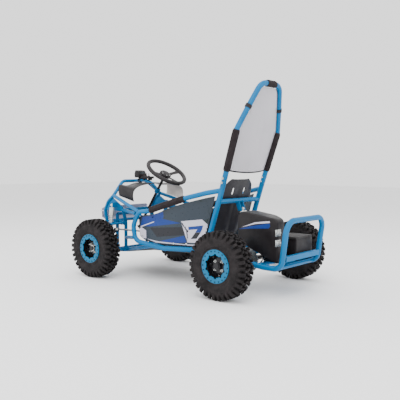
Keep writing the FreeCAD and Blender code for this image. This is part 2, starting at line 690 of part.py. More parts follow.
def swing_arm():
    front = [(SWING_X, 140, SWING_Z), (150, 146, 178), (70, RAIL_Y, 171), (38, RAIL_Y, 168)]
    rear = [(-38, RAIL_Y, 158), (-120, RAIL_Y, 148), (-226, RAIL_Y, 146), (-238, RAIL_Y, 240),
            (BUMPER_X, BUMPER_Y, BUMPER_Z)]
    tubes = [(rear + flip(rear)[::-1], HOOP_OD, (True, True))]
    tubes += [(front, RAIL_OD, (True, True)), (flip(front), RAIL_OD, (True, True))]
    for x, z in ((86.0, 172.0), (-90.0, 151.5), (-196.0, 147.0)):
        tubes.append(([(x, -RAIL_Y, z), (x, RAIL_Y, z)], 22.0, (False, False)))
    frame = weld(tubes)[1]
    outline = [(-50, 171, 142), (50, 171, 150), (50, 171, 186), (26, 171, 208), (-26, 171, 208),
               (-50, 171, 176)]
    carrier = prism(outline, Y_AXIS * 8)
    sleeve = cylinder(Vector(SWING_X, 127, SWING_Z), Vector(SWING_X, 153, SWING_Z), RAIL_OD / 2)
    step = block(-246, -226, -162, 162, 182, 208).cut(block(-244, -228, -162, 162, 184, 206))
    ear = prism([(74, 10.5, 172), (62, 10.5, 212), (64, 10.5, 222), (82, 10.5, 222), (97, 10.5, 172)],
                Y_AXIS * 4)
    pin = cylinder(REAR_SHOCK_EYE - Y_AXIS * 19, REAR_SHOCK_EYE + Y_AXIS * 19, BOLT_R)
    tray = block(-222, -80, -150, 112, 162.2, 164.4)
    stands = [block(x - 8, x + 8, y - 10, y + 10, z, 163) for x, z in ((-90, 160), (-196, 156))
              for y in (-120, 80)]
    frame = frame.fuse([carrier, mirrored(carrier), sleeve, mirrored(sleeve), step, ear, mirrored(ear),
                        pin, tray] + stands)
    bores = [cylinder(Vector(SWING_X, side * 120, SWING_Z), Vector(SWING_X, side * 160, SWING_Z),
                      6.0 + SLACK) for side in (1, -1)]
    bores.append(cylinder(Vector(0, -190, AXLE_Z), Vector(0, 190, AXLE_Z), 26.0))
    return frame.cut(Part.makeCompound(bores))


def axle_bearings():
    bearings = []
    for side in (1, -1):
        start = Vector(0, side * RAIL_Y - 9, AXLE_Z)
        bearings.append(ring(start, start + Y_AXIS * 18, 26.0, AXLE_R + SLACK))
    return Part.makeCompound(bearings)


def rear_axle():
    reach = REAR_WHEEL_Y + 34
    shaft = cylinder(Vector(0, -reach, AXLE_Z), Vector(0, reach, AXLE_Z), AXLE_R)
    nuts = [cylinder(Vector(0, side * (REAR_WHEEL_Y + 22), AXLE_Z),
                     Vector(0, side * (REAR_WHEEL_Y + 31), AXLE_Z), 18.0) for side in (1, -1)]
    collars = [cylinder(Vector(0, y - 8, AXLE_Z), Vector(0, y + 8, AXLE_Z), 21.0)
               for y in (SPROCKET_Y - 10.5, DISC_Y + 10.5)]
    return shaft.fuse(nuts + collars)


def sprocket():
    return place_wheel(toothed(SPROCKET_TEETH, SPROCKET_Y - 2, SPROCKET_Y + 2, AXLE_R), 0)


def motor_pinion():
    gear = toothed(PINION_TEETH, SPROCKET_Y - 2, SPROCKET_Y + 2, 6.5)
    shaft = cylinder(Vector(0, 112.5, 0), Vector(0, SPROCKET_Y + 4, 0), 7.0)
    pinion = gear.fuse(shaft)
    pinion.translate(Vector(MOTOR_X, 0, MOTOR_Z))
    return pinion


def brake_disc():
    disc = ring(Vector(0, DISC_Y - 2, 0), Vector(0, DISC_Y + 2, 0), 68.0, AXLE_R)
    holes = []
    for step in range(24):
        turn = 2 * math.pi * step / 24
        radius = 46.0 if step % 2 else 57.0
        centre = Vector(radius * math.cos(turn), DISC_Y - 4, radius * math.sin(turn))
        holes.append(Part.makeCylinder(4.0, 8, centre, Y_AXIS))
    return place_wheel(disc.cut(Part.makeCompound(holes)), 0)


def motor():
    centre = Vector(MOTOR_X, 0, MOTOR_Z)
    body = cylinder(centre + Y_AXIS * 46, centre + Y_AXIS * 112, 50.0)
    boss = cylinder(centre + Y_AXIS * 40, centre + Y_AXIS * 112, 30.0)
    foot = block(MOTOR_X - 34, MOTOR_X + 30, 50, 106, 164.4, 190)
    return body.fuse([boss, foot])


def battery_box():
    box = block(-206, -84, -148, 8, 164.4, 272)
    lid = block(-209, -81, -151, 11, 272, 284)
    return box.makeFillet(6, [e for e in box.Edges if abs(e.tangentAt(0).z) > 0.9]).fuse(lid)


def rear_cover():
    """The moulded drive cover: a hollow shell, open below, over the motor and the chain."""
    side = [(-192, 34, 164.5), (-52, 34, 216), (48, 34, 262), (50, 34, 398), (20, 34, 411), (-186, 34, 380)]
    corners = [vec(p) for p in side]
    outer = prism(side, Y_AXIS * 118)
    wire = Part.makePolygon(corners + corners[:1]).makeOffset2D(-3.0)
    space = Part.Face(wire).extrude(Y_AXIS * 112)
    space.translate(Y_AXIS * 3)
    dropped = space.copy()
    dropped.translate(Vector(0, 0, -5))
    return outer.cut(space).cut(dropped)


# ---------------------------------------------------------------- assembly

def joined(shapes):
    return Part.makeCompound(shapes)


def main():
    os.makedirs("parts", exist_ok=True)
    base_outer, base = hoop_base()
    side_outer, side = side_frame()
    hoop_outer, nose_hoop = front_hoop()
    floor_outer, floor = floor_frame()
    bulk = front_bulkhead()[1]
    sides = joined([side_outer, mirrored(side_outer)])
    side = side.cut(base_outer)
    nose_hoop = nose_hoop.cut(sides)
    floor = floor.cut(sides)
    bulk = bulk.cut(sides).cut(hoop_outer).cut(floor_outer)
    bolts = hoop_bolts()
    seat_fixings = seat_bolts()

    save("hoop_base", base.cut(joined(bolts)))
    save("side_frame_left", side)
    save("side_frame_right", mirrored(side))
    save("floor_frame", floor.cut(joined(seat_fixings)))
    save("front_hoop", nose_hoop)
    save("front_bulkhead", bulk)
    save("roll_hoop", roll_hoop().cut(joined(bolts)))
    save("bolts", joined(bolts + seat_fixings))
    save("floor_pan", floor_pan())
    save("cowl", cowl())
    save("nose_panel", nose_panel())
    save("seat_shell", seat_shell().cut(joined(seat_fixings)))
    save("side_panels", both_sides(side_panel()))
    save("rail_pads", both_sides(rail_pad()))
    save("hoop_pads", hoop_pads())
    save("net", net())
    save("display_box", display_box())

    save("steering_wheel", steering_wheel())
    save("steering_column", steering_column())
    save("brake_pedal", pedal(85.0))
    save("throttle_pedal", pedal(-85.0))

    front_shock = (SHOCK_TOP, SHOCK_EYE, X_AXIS, 16.0, 10.0, 150.0)
    corner = {
        "lower_arm": lower_arm(), "upper_arm": upper_arm(), "kingpin": kingpin(), "knuckle": knuckle(),
        "shock_body": shock_body(*front_shock), "shock_rod": shock_rod(*front_shock),
        "shock_spring": shock_spring(SHOCK_TOP, SHOCK_EYE, 2.0, 13.5, 11),
        "tyre": place_wheel(tyre(FRONT_WHEEL_Y), WHEELBASE),
        "rim": place_wheel(rim(FRONT_WHEEL_Y, 8.5 + SLACK), WHEELBASE),
        "bead_ring": place_wheel(bead_ring(FRONT_WHEEL_Y), WHEELBASE),
    }
    for name, shape in corner.items():
        save(name + "_left", shape)
        save(name + "_right", mirrored(shape))
    for side_name, sign in (("left", 1), ("right", -1)):
        save("tie_end_" + side_name, tie_end(sign))
        save("tie_rod_" + side_name, tie_rod(sign))

    save("rear_tyres", both_sides(place_wheel(tyre(REAR_WHEEL_Y), 0)))
    save("rear_rims", both_sides(place_wheel(rim(REAR_WHEEL_Y, AXLE_R), 0)))
    save("rear_bead_rings", both_sides(place_wheel(bead_ring(REAR_WHEEL_Y), 0)))
    save("rear_axle", rear_axle())
    save("axle_bearings", axle_bearings())
    save("sprocket", sprocket())
    save("brake_disc", brake_disc())
    save("swing_arm", swing_arm())
    save("motor", motor())
    save("motor_pinion", motor_pinion())
    save("battery_box", battery_box())
    save("rear_cover", rear_cover())
    rear_shock = (REAR_SHOCK_TOP, REAR_SHOCK_EYE, Y_AXIS, 22.0, 13.0, 130.0)
    save("rear_shock_body", shock_body(*rear_shock))
    save("rear_shock_rod", shock_rod(*rear_shock))
    save("rear_shock_spring", shock_spring(REAR_SHOCK_TOP, REAR_SHOCK_EYE, 3.0, 18.0, 7))


main()
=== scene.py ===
"""Looks for the off-road kart chassis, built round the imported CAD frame. Metres, row frame."""

import json
import math
import random

import bmesh
import bpy
from mathutils import Matrix, Vector, noise
from mathutils.bvhtree import BVHTree


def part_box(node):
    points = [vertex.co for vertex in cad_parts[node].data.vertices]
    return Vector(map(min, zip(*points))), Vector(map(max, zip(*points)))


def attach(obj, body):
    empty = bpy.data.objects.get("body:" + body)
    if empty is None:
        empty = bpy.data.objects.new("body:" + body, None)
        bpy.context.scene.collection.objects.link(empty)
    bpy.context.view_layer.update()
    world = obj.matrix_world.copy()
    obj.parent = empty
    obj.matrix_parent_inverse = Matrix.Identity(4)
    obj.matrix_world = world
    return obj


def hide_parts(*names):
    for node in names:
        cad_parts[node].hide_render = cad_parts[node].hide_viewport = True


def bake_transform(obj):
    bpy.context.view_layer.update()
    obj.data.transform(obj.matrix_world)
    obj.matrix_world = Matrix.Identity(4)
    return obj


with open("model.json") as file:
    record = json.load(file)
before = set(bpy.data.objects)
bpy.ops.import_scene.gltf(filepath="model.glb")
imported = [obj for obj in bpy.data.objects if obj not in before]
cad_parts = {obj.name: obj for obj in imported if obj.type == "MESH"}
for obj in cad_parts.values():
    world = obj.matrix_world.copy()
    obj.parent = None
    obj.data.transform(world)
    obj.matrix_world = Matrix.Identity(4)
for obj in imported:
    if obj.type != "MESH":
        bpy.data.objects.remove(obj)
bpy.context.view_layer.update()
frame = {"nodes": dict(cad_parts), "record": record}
nodes = frame["nodes"]
joints = {j["name"]: j for j in frame["record"]["behaviour"]["joints"]}
random.seed(7)


# ---------------------------------------------------------------- materials

class Shader:
    """A node material under construction: every texture reads Object coordinates in metres."""

    def __init__(self, name):
        self.material = bpy.data.materials.new(name)
        self.material.use_nodes = True
        self.tree = self.material.node_tree
        self.bsdf = self.tree.nodes["Principled BSDF"]
        self.coords = self.tree.nodes.new("ShaderNodeTexCoord").outputs["Object"]

    def link(self, out, socket):
        self.tree.links.new(out, socket)

    def node(self, kind, inputs=(), **settings):
        """A new node with some inputs set by name and some settings."""
        node = self.tree.nodes.new("ShaderNode" + kind)
        for key, number in dict(inputs).items():
            node.inputs[key].default_value = number
        for key, value in settings.items():
            setattr(node, key, value)
        return node

    def noise(self, scale, detail, rough=0.6):
        node = self.node("TexNoise", {"Scale": scale, "Detail": detail, "Roughness": rough})
        self.link(self.coords, node.inputs["Vector"])
        return node.outputs["Fac"]

    def cells(self, scale):
        node = self.node("TexVoronoi", {"Scale": scale}, feature="F1")
        self.link(self.coords, node.inputs["Vector"])
        return node.outputs["Distance"]

    def wave(self, scale, axis, distortion=0.0):
        node = self.node("TexWave", {"Scale": scale, "Distortion": distortion}, wave_type="BANDS",
                         bands_direction=axis)
        self.link(self.coords, node.inputs["Vector"])
        return node.outputs["Fac"]

    def math(self, operation, a, b):
        node = self.node("Math", operation=operation)
        for socket, value in zip(node.inputs, (a, b)):
            if isinstance(value, (int, float)):
                socket.default_value = value
            else:
                self.link(value, socket)
        return node.outputs[0]

    def colour(self, fac, low, high, a, b):
        """Base colour: fac from low..high becomes colours a..b."""
        node = self.node("ValToRGB")
        ends = node.color_ramp.elements
        ends[0].position, ends[1].position = low, high
        ends[0].color, ends[1].color = (*a, 1), (*b, 1)
        self.link(fac, node.inputs["Fac"])
        self.link(node.outputs["Color"], self.bsdf.inputs["Base Color"])

    def rough(self, fac, a, b):
        """Roughness: fac from 0.3..0.7 becomes a..b."""
        node = self.node("MapRange", {"From Min": 0.3, "From Max": 0.7, "To Min": a, "To Max": b})
        self.link(fac, node.inputs["Value"])
        self.link(node.outputs["Result"], self.bsdf.inputs["Roughness"])

    def bump(self, height, strength, distance):
        node = self.node("Bump", {"Strength": strength, "Distance": distance})
        self.link(height, node.inputs["Height"])
        if self.bsdf.inputs["Normal"].is_linked:
            self.link(self.bsdf.inputs["Normal"].links[0].from_socket, node.inputs["Normal"])
        self.link(node.outputs["Normal"], self.bsdf.inputs["Normal"])

    def set(self, **values):
        for key, number in values.items():
            self.bsdf.inputs[key.replace("_", " ")].default_value = number
        return self


def paint(name, colour, rough=0.34, coat=0.04):
    """Powder-coated or painted steel: faint orange peel, small tone changes and dust in the roughness."""
    s = Shader(name)
    dark = [c * 0.82 for c in colour]
    s.colour(s.noise(9, 5), 0.3, 0.7, dark, colour)
    s.rough(s.noise(60, 6), rough * 0.8, rough * 1.5)
    s.bump(s.noise(700, 2), 0.10, 0.0002)
    return s.set(Coat_Weight=coat, Coat_Roughness=0.12, Specular_IOR_Level=0.14).material


def bare_metal(name, colour, rough):
    """Plated or machined metal with fine scratches and stains."""
    s = Shader(name)
    dull = [c * 0.7 for c in colour]
    s.colour(s.noise(35, 6), 0.35, 0.7, dull, colour)
    s.rough(s.noise(120, 5, 0.7), rough * 0.7, rough * 1.6)
    s.bump(s.noise(900, 3, 0.6), 0.12, 0.0002)
    return s.set(Metallic=1.0).material


def rubber(name, colour, dust):
    """Tyre rubber: mould grain, with pale dust in broad patches."""
    s = Shader(name)
    s.colour(s.noise(22, 8, 0.7), 0.42, 0.78, colour, dust)
    s.rough(s.noise(90, 5), 0.62, 0.86)
    s.bump(s.noise(1300, 3), 0.25, 0.0003)
    s.bump(s.noise(160, 4), 0.18, 0.0006)
    return s.set(Specular_IOR_Level=0.12).material


def moulded(name, colour, rough=0.42, grain=900, depth=0.25):
    """Moulded plastic with a pebbled grain and slight scuffing."""
    s = Shader(name)
    scuffed = [min(1, c * 1.5 + 0.006) for c in colour]
    s.colour(s.noise(14, 7, 0.65), 0.35, 0.8, colour, scuffed)
    s.rough(s.noise(45, 6), rough * 0.85, rough * 1.3)
    s.bump(s.cells(grain), depth, 0.0003)
    return s.set(Specular_IOR_Level=0.2).material


def printed(name, colour, rough=0.3):
    """A printed film on a plastic panel: flat ink with a fine dot grain and a clear coat."""
    s = Shader(name)
    shade = [c * 0.86 for c in colour]
    s.colour(s.noise(6, 5), 0.3, 0.75, shade, colour)
    s.rough(s.noise(80, 5), rough * 0.8, rough * 1.4)
    s.bump(s.noise(260, 3), 0.06, 0.0002)
    return s.set(Coat_Weight=0.08, Coat_Roughness=0.15, Specular_IOR_Level=0.25).material


def fabric(name, colour, pitch=900, depth=0.5):
    """Woven cover cloth: two crossed thread directions with fuzz."""
    s = Shader(name)
    lit = [min(1, c * 1.7 + 0.01) for c in colour]
    threads = s.math("MULTIPLY", s.wave(pitch, "Z", 0.4), s.wave(pitch, "DIAGONAL", 0.4))
    s.colour(s.math("ADD", s.math("MULTIPLY", threads, 0.5), s.noise(30, 6)), 0.35, 1.0, colour, lit)
    s.bump(threads, depth, 0.0004)
    s.bump(s.noise(120, 5), 0.25, 0.0008)
    return s.set(Roughness=0.9, Sheen_Weight=0.03, Specular_IOR_Level=0.1).material


def mesh_cloth(name, colour, pitch, cover):
    """Open mesh cloth: light passes between the threads."""
    s = Shader(name)
    across = s.wave(pitch, "Y")
    along = s.wave(pitch, "Z")
    threads = s.math("MAXIMUM", across, along)
    s.colour(s.noise(5, 5), 0.3, 0.7, [c * 0.85 for c in colour], colour)
    s.link(s.math("GREATER_THAN", threads, 1 - cover), s.bsdf.inputs["Alpha"])
    s.bump(threads, 0.4, 0.0004)
    return s.set(Roughness=0.8, Sheen_Weight=0.3).material


MAT = {
    "frame_blue": paint("frame_blue_paint", (0.0, 0.130, 0.32)),
    "ring_blue": paint("ring_blue_paint", (0.0, 0.125, 0.260), 0.40, 0.1),
    "steel_black": paint("black_paint", (0.012, 0.012, 0.014), 0.38, 0.2),
    "steel_zinc": bare_metal("zinc", (0.62, 0.64, 0.62), 0.3),
    "spring_steel": bare_metal("spring_chrome", (0.70, 0.71, 0.72), 0.2),
    "aluminium": bare_metal("cast_aluminium", (0.66, 0.66, 0.64), 0.36),
    "tyre_black": rubber("tyre_rubber", (0.0095, 0.0085, 0.009), (0.030, 0.025, 0.026)),
    "plastic_black": moulded("black_plastic", (0.008, 0.0065, 0.0075)),
    "pan_grey": moulded("pan_coating", (0.045, 0.047, 0.05), 0.6, 500),
    "panel_dark": printed("print_slate", (0.022, 0.034, 0.048)),
    "panel_light": printed("print_light", (0.56, 0.54, 0.64)),
    "pad_foam": fabric("pad_cloth", (0.0105, 0.0075, 0.0085)),
    "net_grey": mesh_cloth("net_cloth", (0.40, 0.385, 0.43), 420, 0.72),
}
EXTRA = {
    "seat": moulded("seat_plastic", (0.018, 0.017, 0.021), 0.34, 1400, 0.12),
    "print_blue": printed("print_blue", (0.004, 0.032, 0.20)),
    "print_black": printed("print_black", (0.012, 0.013, 0.018)),
    "print_green": printed("print_shade", (0.010, 0.020, 0.022)),
    # painted light: the pale colour laid on the inner face of the cowl's right half, as if that face were lit
    "lit_face_paint": moulded("cowl_painted_lit_face", (0.56, 0.51, 0.47), 0.5, 700, 0.1),
    "grip": moulded("wheel_grip", (0.020, 0.018, 0.019), 0.62, 1500, 0.5),
    "strap": fabric("strap_webbing", (0.016, 0.015, 0.017), 1400, 0.6),
    "weld": bare_metal("weld_bead", (0.02, 0.18, 0.44), 0.4),
    "chain": bare_metal("chain_steel", (0.30, 0.29, 0.28), 0.3),
    "lens": printed("display_lens", (0.02, 0.03, 0.035), 0.08),
    "hub_black": paint("hub_black", (0.008, 0.008, 0.010), 0.3, 0.3),
}
slot_of = {s["node"]: s["material_slot"] for s in frame["record"]["subparts"]}
for node_name, obj in nodes.items():
    obj.data.materials.clear()
    obj.data.materials.append(MAT[slot_of[node_name]])
for node_name in ("rim_left", "rim_right", "rear_rims", "motor", "rear_axle", "axle_bearings"):
    nodes[node_name].data.materials[0] = EXTRA["hub_black"]


# ---------------------------------------------------------------- mesh tools

def piece(name, shape, material, body="chassis", replaces=(), sharp=None):
    """Make an object from a bmesh or mesh, on the given body unless it is None, with edges past sharp
    degrees.
    """
    mesh = shape
    if isinstance(shape, bmesh.types.BMesh):
        mesh = bpy.data.meshes.new(name)
        bmesh.ops.recalc_face_normals(shape, faces=shape.faces)
        shape.to_mesh(mesh)
        shape.free()
    mesh.name = name
    obj = bpy.data.objects.new(name, mesh)
    bpy.context.scene.collection.objects.link(obj)
    mesh.materials.clear()
    mesh.materials.append(material)
    for polygon in mesh.polygons:
        polygon.use_smooth = True
    if body:
        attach(obj, body)
    if replaces:
        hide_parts(*replaces)
    if sharp:
        auto_smooth(obj, sharp)
    return obj


def bevel(obj, width, segments, angle):
    modifier = obj.modifiers.new("bevel", "BEVEL")
    modifier.width = width
    modifier.segments = segments
    modifier.limit_method = "ANGLE"
    modifier.angle_limit = math.radians(angle)
    modifier.harden_normals = False


def subdivide(obj):
    modifier = obj.modifiers.new("subdivision", "SUBSURF")
    modifier.levels = 1
    modifier.render_levels = 1


def wall(obj, thickness, offset):
    """Give a surface a thickness: offset -1 is inward, 0 is to both sides."""
    modifier = obj.modifiers.new("wall", "SOLIDIFY")
    modifier.thickness = thickness
    modifier.offset = offset
    return obj


def auto_smooth(obj, angle):
    """Sharp edges above the angle, smooth shading elsewhere."""
    obj.data.set_sharp_from_angle(angle=math.radians(angle))


def circle(count, start=0.0):
    """Angles spread evenly round a circle."""
    return [2 * math.pi * (k + start) / count for k in range(count)]


def sides_of(axis):
    """Two unit vectors square to an axis and to each other."""
    u = axis.orthogonal().normalized()
    return u, axis.cross(u)


def ring_loft(bm, rings, cap=True):
    """Bridge closed rings of points with quads."""
    rows = [[bm.verts.new(p) for p in ring] for ring in rings]
    count = len(rows[0])
    for a, b in zip(rows, rows[1:]):
        for i in range(count):
            j = (i + 1) % count
            bm.faces.new((a[i], a[j], b[j], b[i]))
    if cap:
        bm.faces.new(rows[0][::-1])
        bm.faces.new(rows[-1])


def quad_grid(bm, rows):
    """Faces between rows of vertices."""
    for a, b in zip(rows, rows[1:]):
        for k in range(len(a) - 1):
            bm.faces.new((a[k], a[k + 1], b[k + 1], b[k]))


def block(bm, x, y, z_low, z_high, half_x, half_y):
    """An upright bar with a rectangular section."""
    ring_loft(bm, [[Vector((x + a * half_x, y + b * half_y, z)) for a, b in SQUARE] for z in (z_low, z_high)])


def frames_along(points):
    """Unit tangent and two normals at each point of a polyline, without twist."""
    tangents = []
    for i in range(len(points)):
        a = points[max(0, i - 1)]
        b = points[min(len(points) - 1, i + 1)]
        tangents.append((b - a).normalized())
    side = tangents[0].orthogonal().normalized()
    out = []
    for tangent in tangents:
        side = (side - tangent * side.dot(tangent)).normalized()
        out.append((tangent, side, tangent.cross(side)))
    return out


def sweep(bm, points, radius_at, sides):
    """Sweep a round section along points. radius_at(step, angle) gives the local radius."""
    ring_loft(bm, [[centre + (u * math.cos(a) + v * math.sin(a)) * radius_at(i, a) for a in circle(sides)]
                   for i, (centre, (_, u, v)) in enumerate(zip(points, frames_along(points)))])


def resample(points, step):
    """Points a fixed step apart along a polyline."""
    out = [points[0].copy()]
    for a, b in zip(points, points[1:]):
        count = max(1, round((b - a).length / step))
        out += [a.lerp(b, (k + 1) / count) for k in range(count)]
    return out


def rounded(points, radius, steps):
    """Replace each inner corner by an arc-like Bezier of the given reach."""
    out = [points[0]]
    for a, b, c in zip(points, points[1:], points[2:]):
        reach = min(radius, (b - a).length * 0.45, (c - b).length * 0.45)
        start = b + (a - b).normalized() * reach
        end = b + (c - b).normalized() * reach
        for k in range(steps + 1):
            t = k / steps
            out.append(start.lerp(b, t).lerp(b.lerp(end, t), t))
    return out + [points[-1]]


def lathe_rings(profile, sides, centre, u, v, w):
    """Rings for a turned shape about w: profile holds (radius, offset along w)."""
    return [[centre + w * offset + (u * math.cos(t) + v * math.sin(t)) * radius for t in circle(sides)]
            for radius, offset in profile]


def turned(bm, profile, sides, centre, u, v, w):
    """A closed turned solid."""
    ring_loft(bm, lathe_rings(profile, sides, centre, u, v, w))


def islands(obj):
    """The loose parts of a CAD node, as lists of points."""
    bm = bmesh.new()
    bm.from_mesh(obj.data)
    bmesh.ops.remove_doubles(bm, verts=bm.verts, dist=1e-5)
    left = set(bm.verts)
    found = []
    while left:
        stack = [left.pop()]
        part = []
        while stack:
            vert = stack.pop()
            part.append(vert.co.copy())
            for edge in vert.link_edges:
                other = edge.other_vert(vert)
                if other in left:
                    left.remove(other)
                    stack.append(other)
        found.append(part)
    bm.free()
    return found


def hex_head(bm, centre, out, radius, height):
    """A hexagon bolt head with a flanged washer under it."""
    u, v = sides_of(out)
    turned(bm, [(radius * 1.35, 0), (radius * 1.3, height * 0.22), (radius * 1.02, height * 0.3)], 18,
           centre, u, v, out)
    turned(bm, [(radius, height * 0.2), (radius, height * 0.85), (radius * 0.86, height)], 6,
           centre, u, v, out)


X, Y, Z = Vector((1, 0, 0)), Vector((0, 1, 0)), Vector((0, 0, 1))
SQUARE = [(-1, -1), (1, -1), (1, 1), (-1, 1)]
SIDES = ((1, "left"), (-1, "right"))


# ---------------------------------------------------------------- tyres and wheels

TREAD_R = (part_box("tyre_left")[1].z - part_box("tyre_left")[0].z) / 2
TYRE_HALF = (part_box("tyre_left")[1].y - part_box("tyre_left")[0].y) / 2
LUG_PITCHES = 17


def carcass_radius(offset):
    """Height of the casing between the lugs, falling away over the shoulder."""
    t = abs(offset) / TYRE_HALF
    return TREAD_R - 0.0165 - 0.010 * t ** 4


def lug(bm, turn, half_turn, y0, y1, skew):
    """One tread block. It spans y0..y1 across the tread and narrows towards its top."""
    corners = []
    for level, grow in ((0, 1.25), (1, 1.0)):
        for y, lean in ((y0, -skew), (y1, skew)):
            for sign in (-1, 1):
                a = turn + lean + sign * half_turn * grow
                r = TREAD_R - (0.0018 if abs(y) > 0.03 else 0.0) if level else carcass_radius(y) - 0.004
                corners.append(bm.verts.new((r * math.sin(a), y, r * math.cos(a))))
    b, t = corners[:4], corners[4:]
    for quad in ((b[0], b[1], b[3], b[2]), (t[0], t[2], t[3], t[1]), (b[0], t[0], t[1], b[1]),
                 (b[2], b[3], t[3], t[2]), (b[0], b[2], t[2], t[0]), (b[1], t[1], t[3], b[3])):
        bm.faces.new(quad)


def shoulder_lug(bm, turn, half_turn, side, inner, long_foot):
    """A shoulder block that wraps from the tread down the sidewall."""
    outline = [(inner, TREAD_R), (0.0375, TREAD_R - 0.001), (0.0455, TREAD_R - 0.006),
               (0.0478, TREAD_R - 0.016), (0.0474, TREAD_R - 0.024 - long_foot)]
    base = [(inner, TREAD_R - 0.022), (0.034, TREAD_R - 0.023), (0.0395, TREAD_R - 0.026),
            (0.0428, TREAD_R - 0.031), (0.0446, TREAD_R - 0.035 - long_foot)]
    rows = []
    for (y, r), (yb, rb) in zip(outline, base):
        row = []
        for sign in (-1, 1):
            for yy, rr, grow in ((yb, rb, 1.2), (y, r, 1.0)) if sign < 0 else ((y, r, 1.0), (yb, rb, 1.2)):
                a = turn + sign * half_turn * grow
                row.append((rr * math.sin(a), side * yy, rr * math.cos(a)))
        rows.append(row)
    ring_loft(bm, rows)


def tyre_mesh():
    """A knobbly kart tyre about its own Y axis: casing, beads, sidewall ribs and tread blocks."""
    bm = bmesh.new()
    half = [(0.0762, 0.0300), (0.0762, 0.0400), (0.0835, 0.0412), (0.0905, 0.0440), (0.0925, 0.0462),
            (0.0945, 0.0445), (0.1040, 0.0462), (0.1150, 0.0472), (0.1245, 0.0474), (0.1258, 0.0479),
            (0.1272, 0.0470), (0.1340, 0.0458), (0.1400, 0.0432), (0.1445, 0.0390)]
    crown = [(carcass_radius(y), y) for y in (0.034, 0.026, 0.016, 0.006)]
    profile = half + crown
    profile += [(r, -y) for r, y in reversed(profile)]
    ring_loft(bm, lathe_rings(profile, 128, Vector(), Z, X, Y), cap=False)
    pitch = 2 * math.pi / LUG_PITCHES
    for k in range(LUG_PITCHES):
        turn = k * pitch
        for side in (1, -1):
            shift = 0 if side > 0 else pitch / 2
            shoulder_lug(bm, turn + shift, pitch * 0.145, side, 0.0265, 0.0)
            shoulder_lug(bm, turn + shift + pitch / 2, pitch * 0.115, side, 0.0325, 0.007)
            lug(bm, turn + shift + pitch * 0.27, pitch * 0.105, side * 0.0135, side * 0.0310,
                side * pitch * 0.05)
            lug(bm, turn + shift + pitch * 0.77, pitch * 0.095, side * 0.0120, side * 0.0270,
                -side * pitch * 0.05)
        for step, lean in ((0.02, 1), (0.35, -1), (0.68, 1)):
            lug(bm, turn + pitch * step, pitch * 0.095, -0.0095 - 0.0015 * lean, 0.0095 - 0.0015 * lean,
                lean * pitch * 0.06)
    bmesh.ops.recalc_face_normals(bm, faces=bm.faces)
    mesh = bpy.data.meshes.new("knobbly_tyre")
    bm.to_mesh(mesh)
    bm.free()
    return mesh


def ring_screws(centre, out):
    """Small cap screws round the bead ring."""
    bm = bmesh.new()
    for a in circle(RING_SCREWS):
        spot = centre + (Z * math.cos(a) + X * math.sin(a)) * RING_SCREW_R + out * RING_FACE
        turned(bm, [(0.0031, 0), (0.0031, 0.0016), (0.0025, 0.0021), (0.0016, 0.0021), (0.0014, 0.0009)],
               12, spot, X, Z, out)
    return bm


def hub_nuts(centre, out):
    """The hub's washer and four wheel nuts with their studs."""
    bm = bmesh.new()
    turned(bm, [(0.0175, -0.002), (0.0175, 0.0005), (0.0165, 0.001)], 28, centre + out * HUB_FACE, X, Z, out)
    for a in circle(4, 0.5):
        spot = centre + (Z * math.cos(a) + X * math.sin(a)) * WHEEL_NUT_R + out * RIM_DISC_FACE
        hex_head(bm, spot, out, 0.0055, 0.006)
        turned(bm, [(0.003, 0.004), (0.003, 0.010), (0.0022, 0.011)], 10, spot, X, Z, out)
    return bm


RING_SCREWS = 20
RING_SCREW_R = 0.073
RING_FACE = 0.0455
HUB_FACE = 0.0235
WHEEL_NUT_R = 0.0285
RIM_DISC_FACE = 0.0175
tyre_data = tyre_mesh()
WHEELS = [
    ("front_left", "tyre_left", 1, "wheel_left"), ("front_right", "tyre_right", -1, "wheel_right"),
    ("rear_left", "rear_tyres", 1, "rear_axle"), ("rear_right", "rear_tyres", -1, "rear_axle"),
]
for label, node, side, body in WHEELS:
    low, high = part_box(node)
    centre = (low + high) / 2
    centre.y = side * (max(abs(low.y), abs(high.y)) - TYRE_HALF)
    data = tyre_data.copy()
    spin = Matrix.Rotation(random.uniform(0, 0.2), 4, "Y")
    turn = Matrix.Rotation(0 if side > 0 else math.pi, 4, "Z")
    data.transform(Matrix.Translation(centre) @ turn @ spin)
    tyre = piece("tyre_" + label, data, MAT["tyre_black"], body, [node], sharp=35)
    bevel(tyre, 0.0008, 1, 40)
    out = Y * side
    piece("ring_bolts_" + label, ring_screws(centre, out), EXTRA["hub_black"], body, sharp=40)
    piece("hub_nuts_" + label, hub_nuts(centre, out), MAT["steel_zinc"], body, sharp=40)


# ---------------------------------------------------------------- foam pads and net

CLOTH = {"quality": 6, "tension_stiffness": 12, "compression_stiffness": 12, "bending_stiffness": 0.4,
         "mass": 0.25, "vertex_group_mass": "pin"}


def cloth_puff(obj, pressure, frames, cap, pinned):
    """Blow the piece up a little with Cloth, cap how far each point moves, and apply it."""
    rest = [v.co.copy() for v in obj.data.vertices]
    obj.vertex_groups.new(name="pin").add(pinned, 1.0, "REPLACE")
    modifier = obj.modifiers.new("cloth", "CLOTH")
    settings = modifier.settings
    for key, value in CLOTH.items():
        setattr(settings, key, value)
    settings.use_pressure = pressure > 0
    settings.uniform_pressure_force = pressure
    settings.effector_weights.gravity = 0 if pressure > 0 else 1
    modifier.point_cache.frame_start = 1
    modifier.point_cache.frame_end = frames
    scene = bpy.context.scene
    for step in range(1, frames + 1):
        scene.frame_set(step)
    settled = obj.evaluated_get(bpy.context.evaluated_depsgraph_get()).data
    moved = [v.co.copy() for v in settled.vertices]
    obj.modifiers.remove(modifier)
    for vert, was, now in zip(obj.data.vertices, rest, moved):
        step = now - was
        if step.length > cap:
            step = step.normalized() * cap
        vert.co = was + step
    scene.frame_set(1)


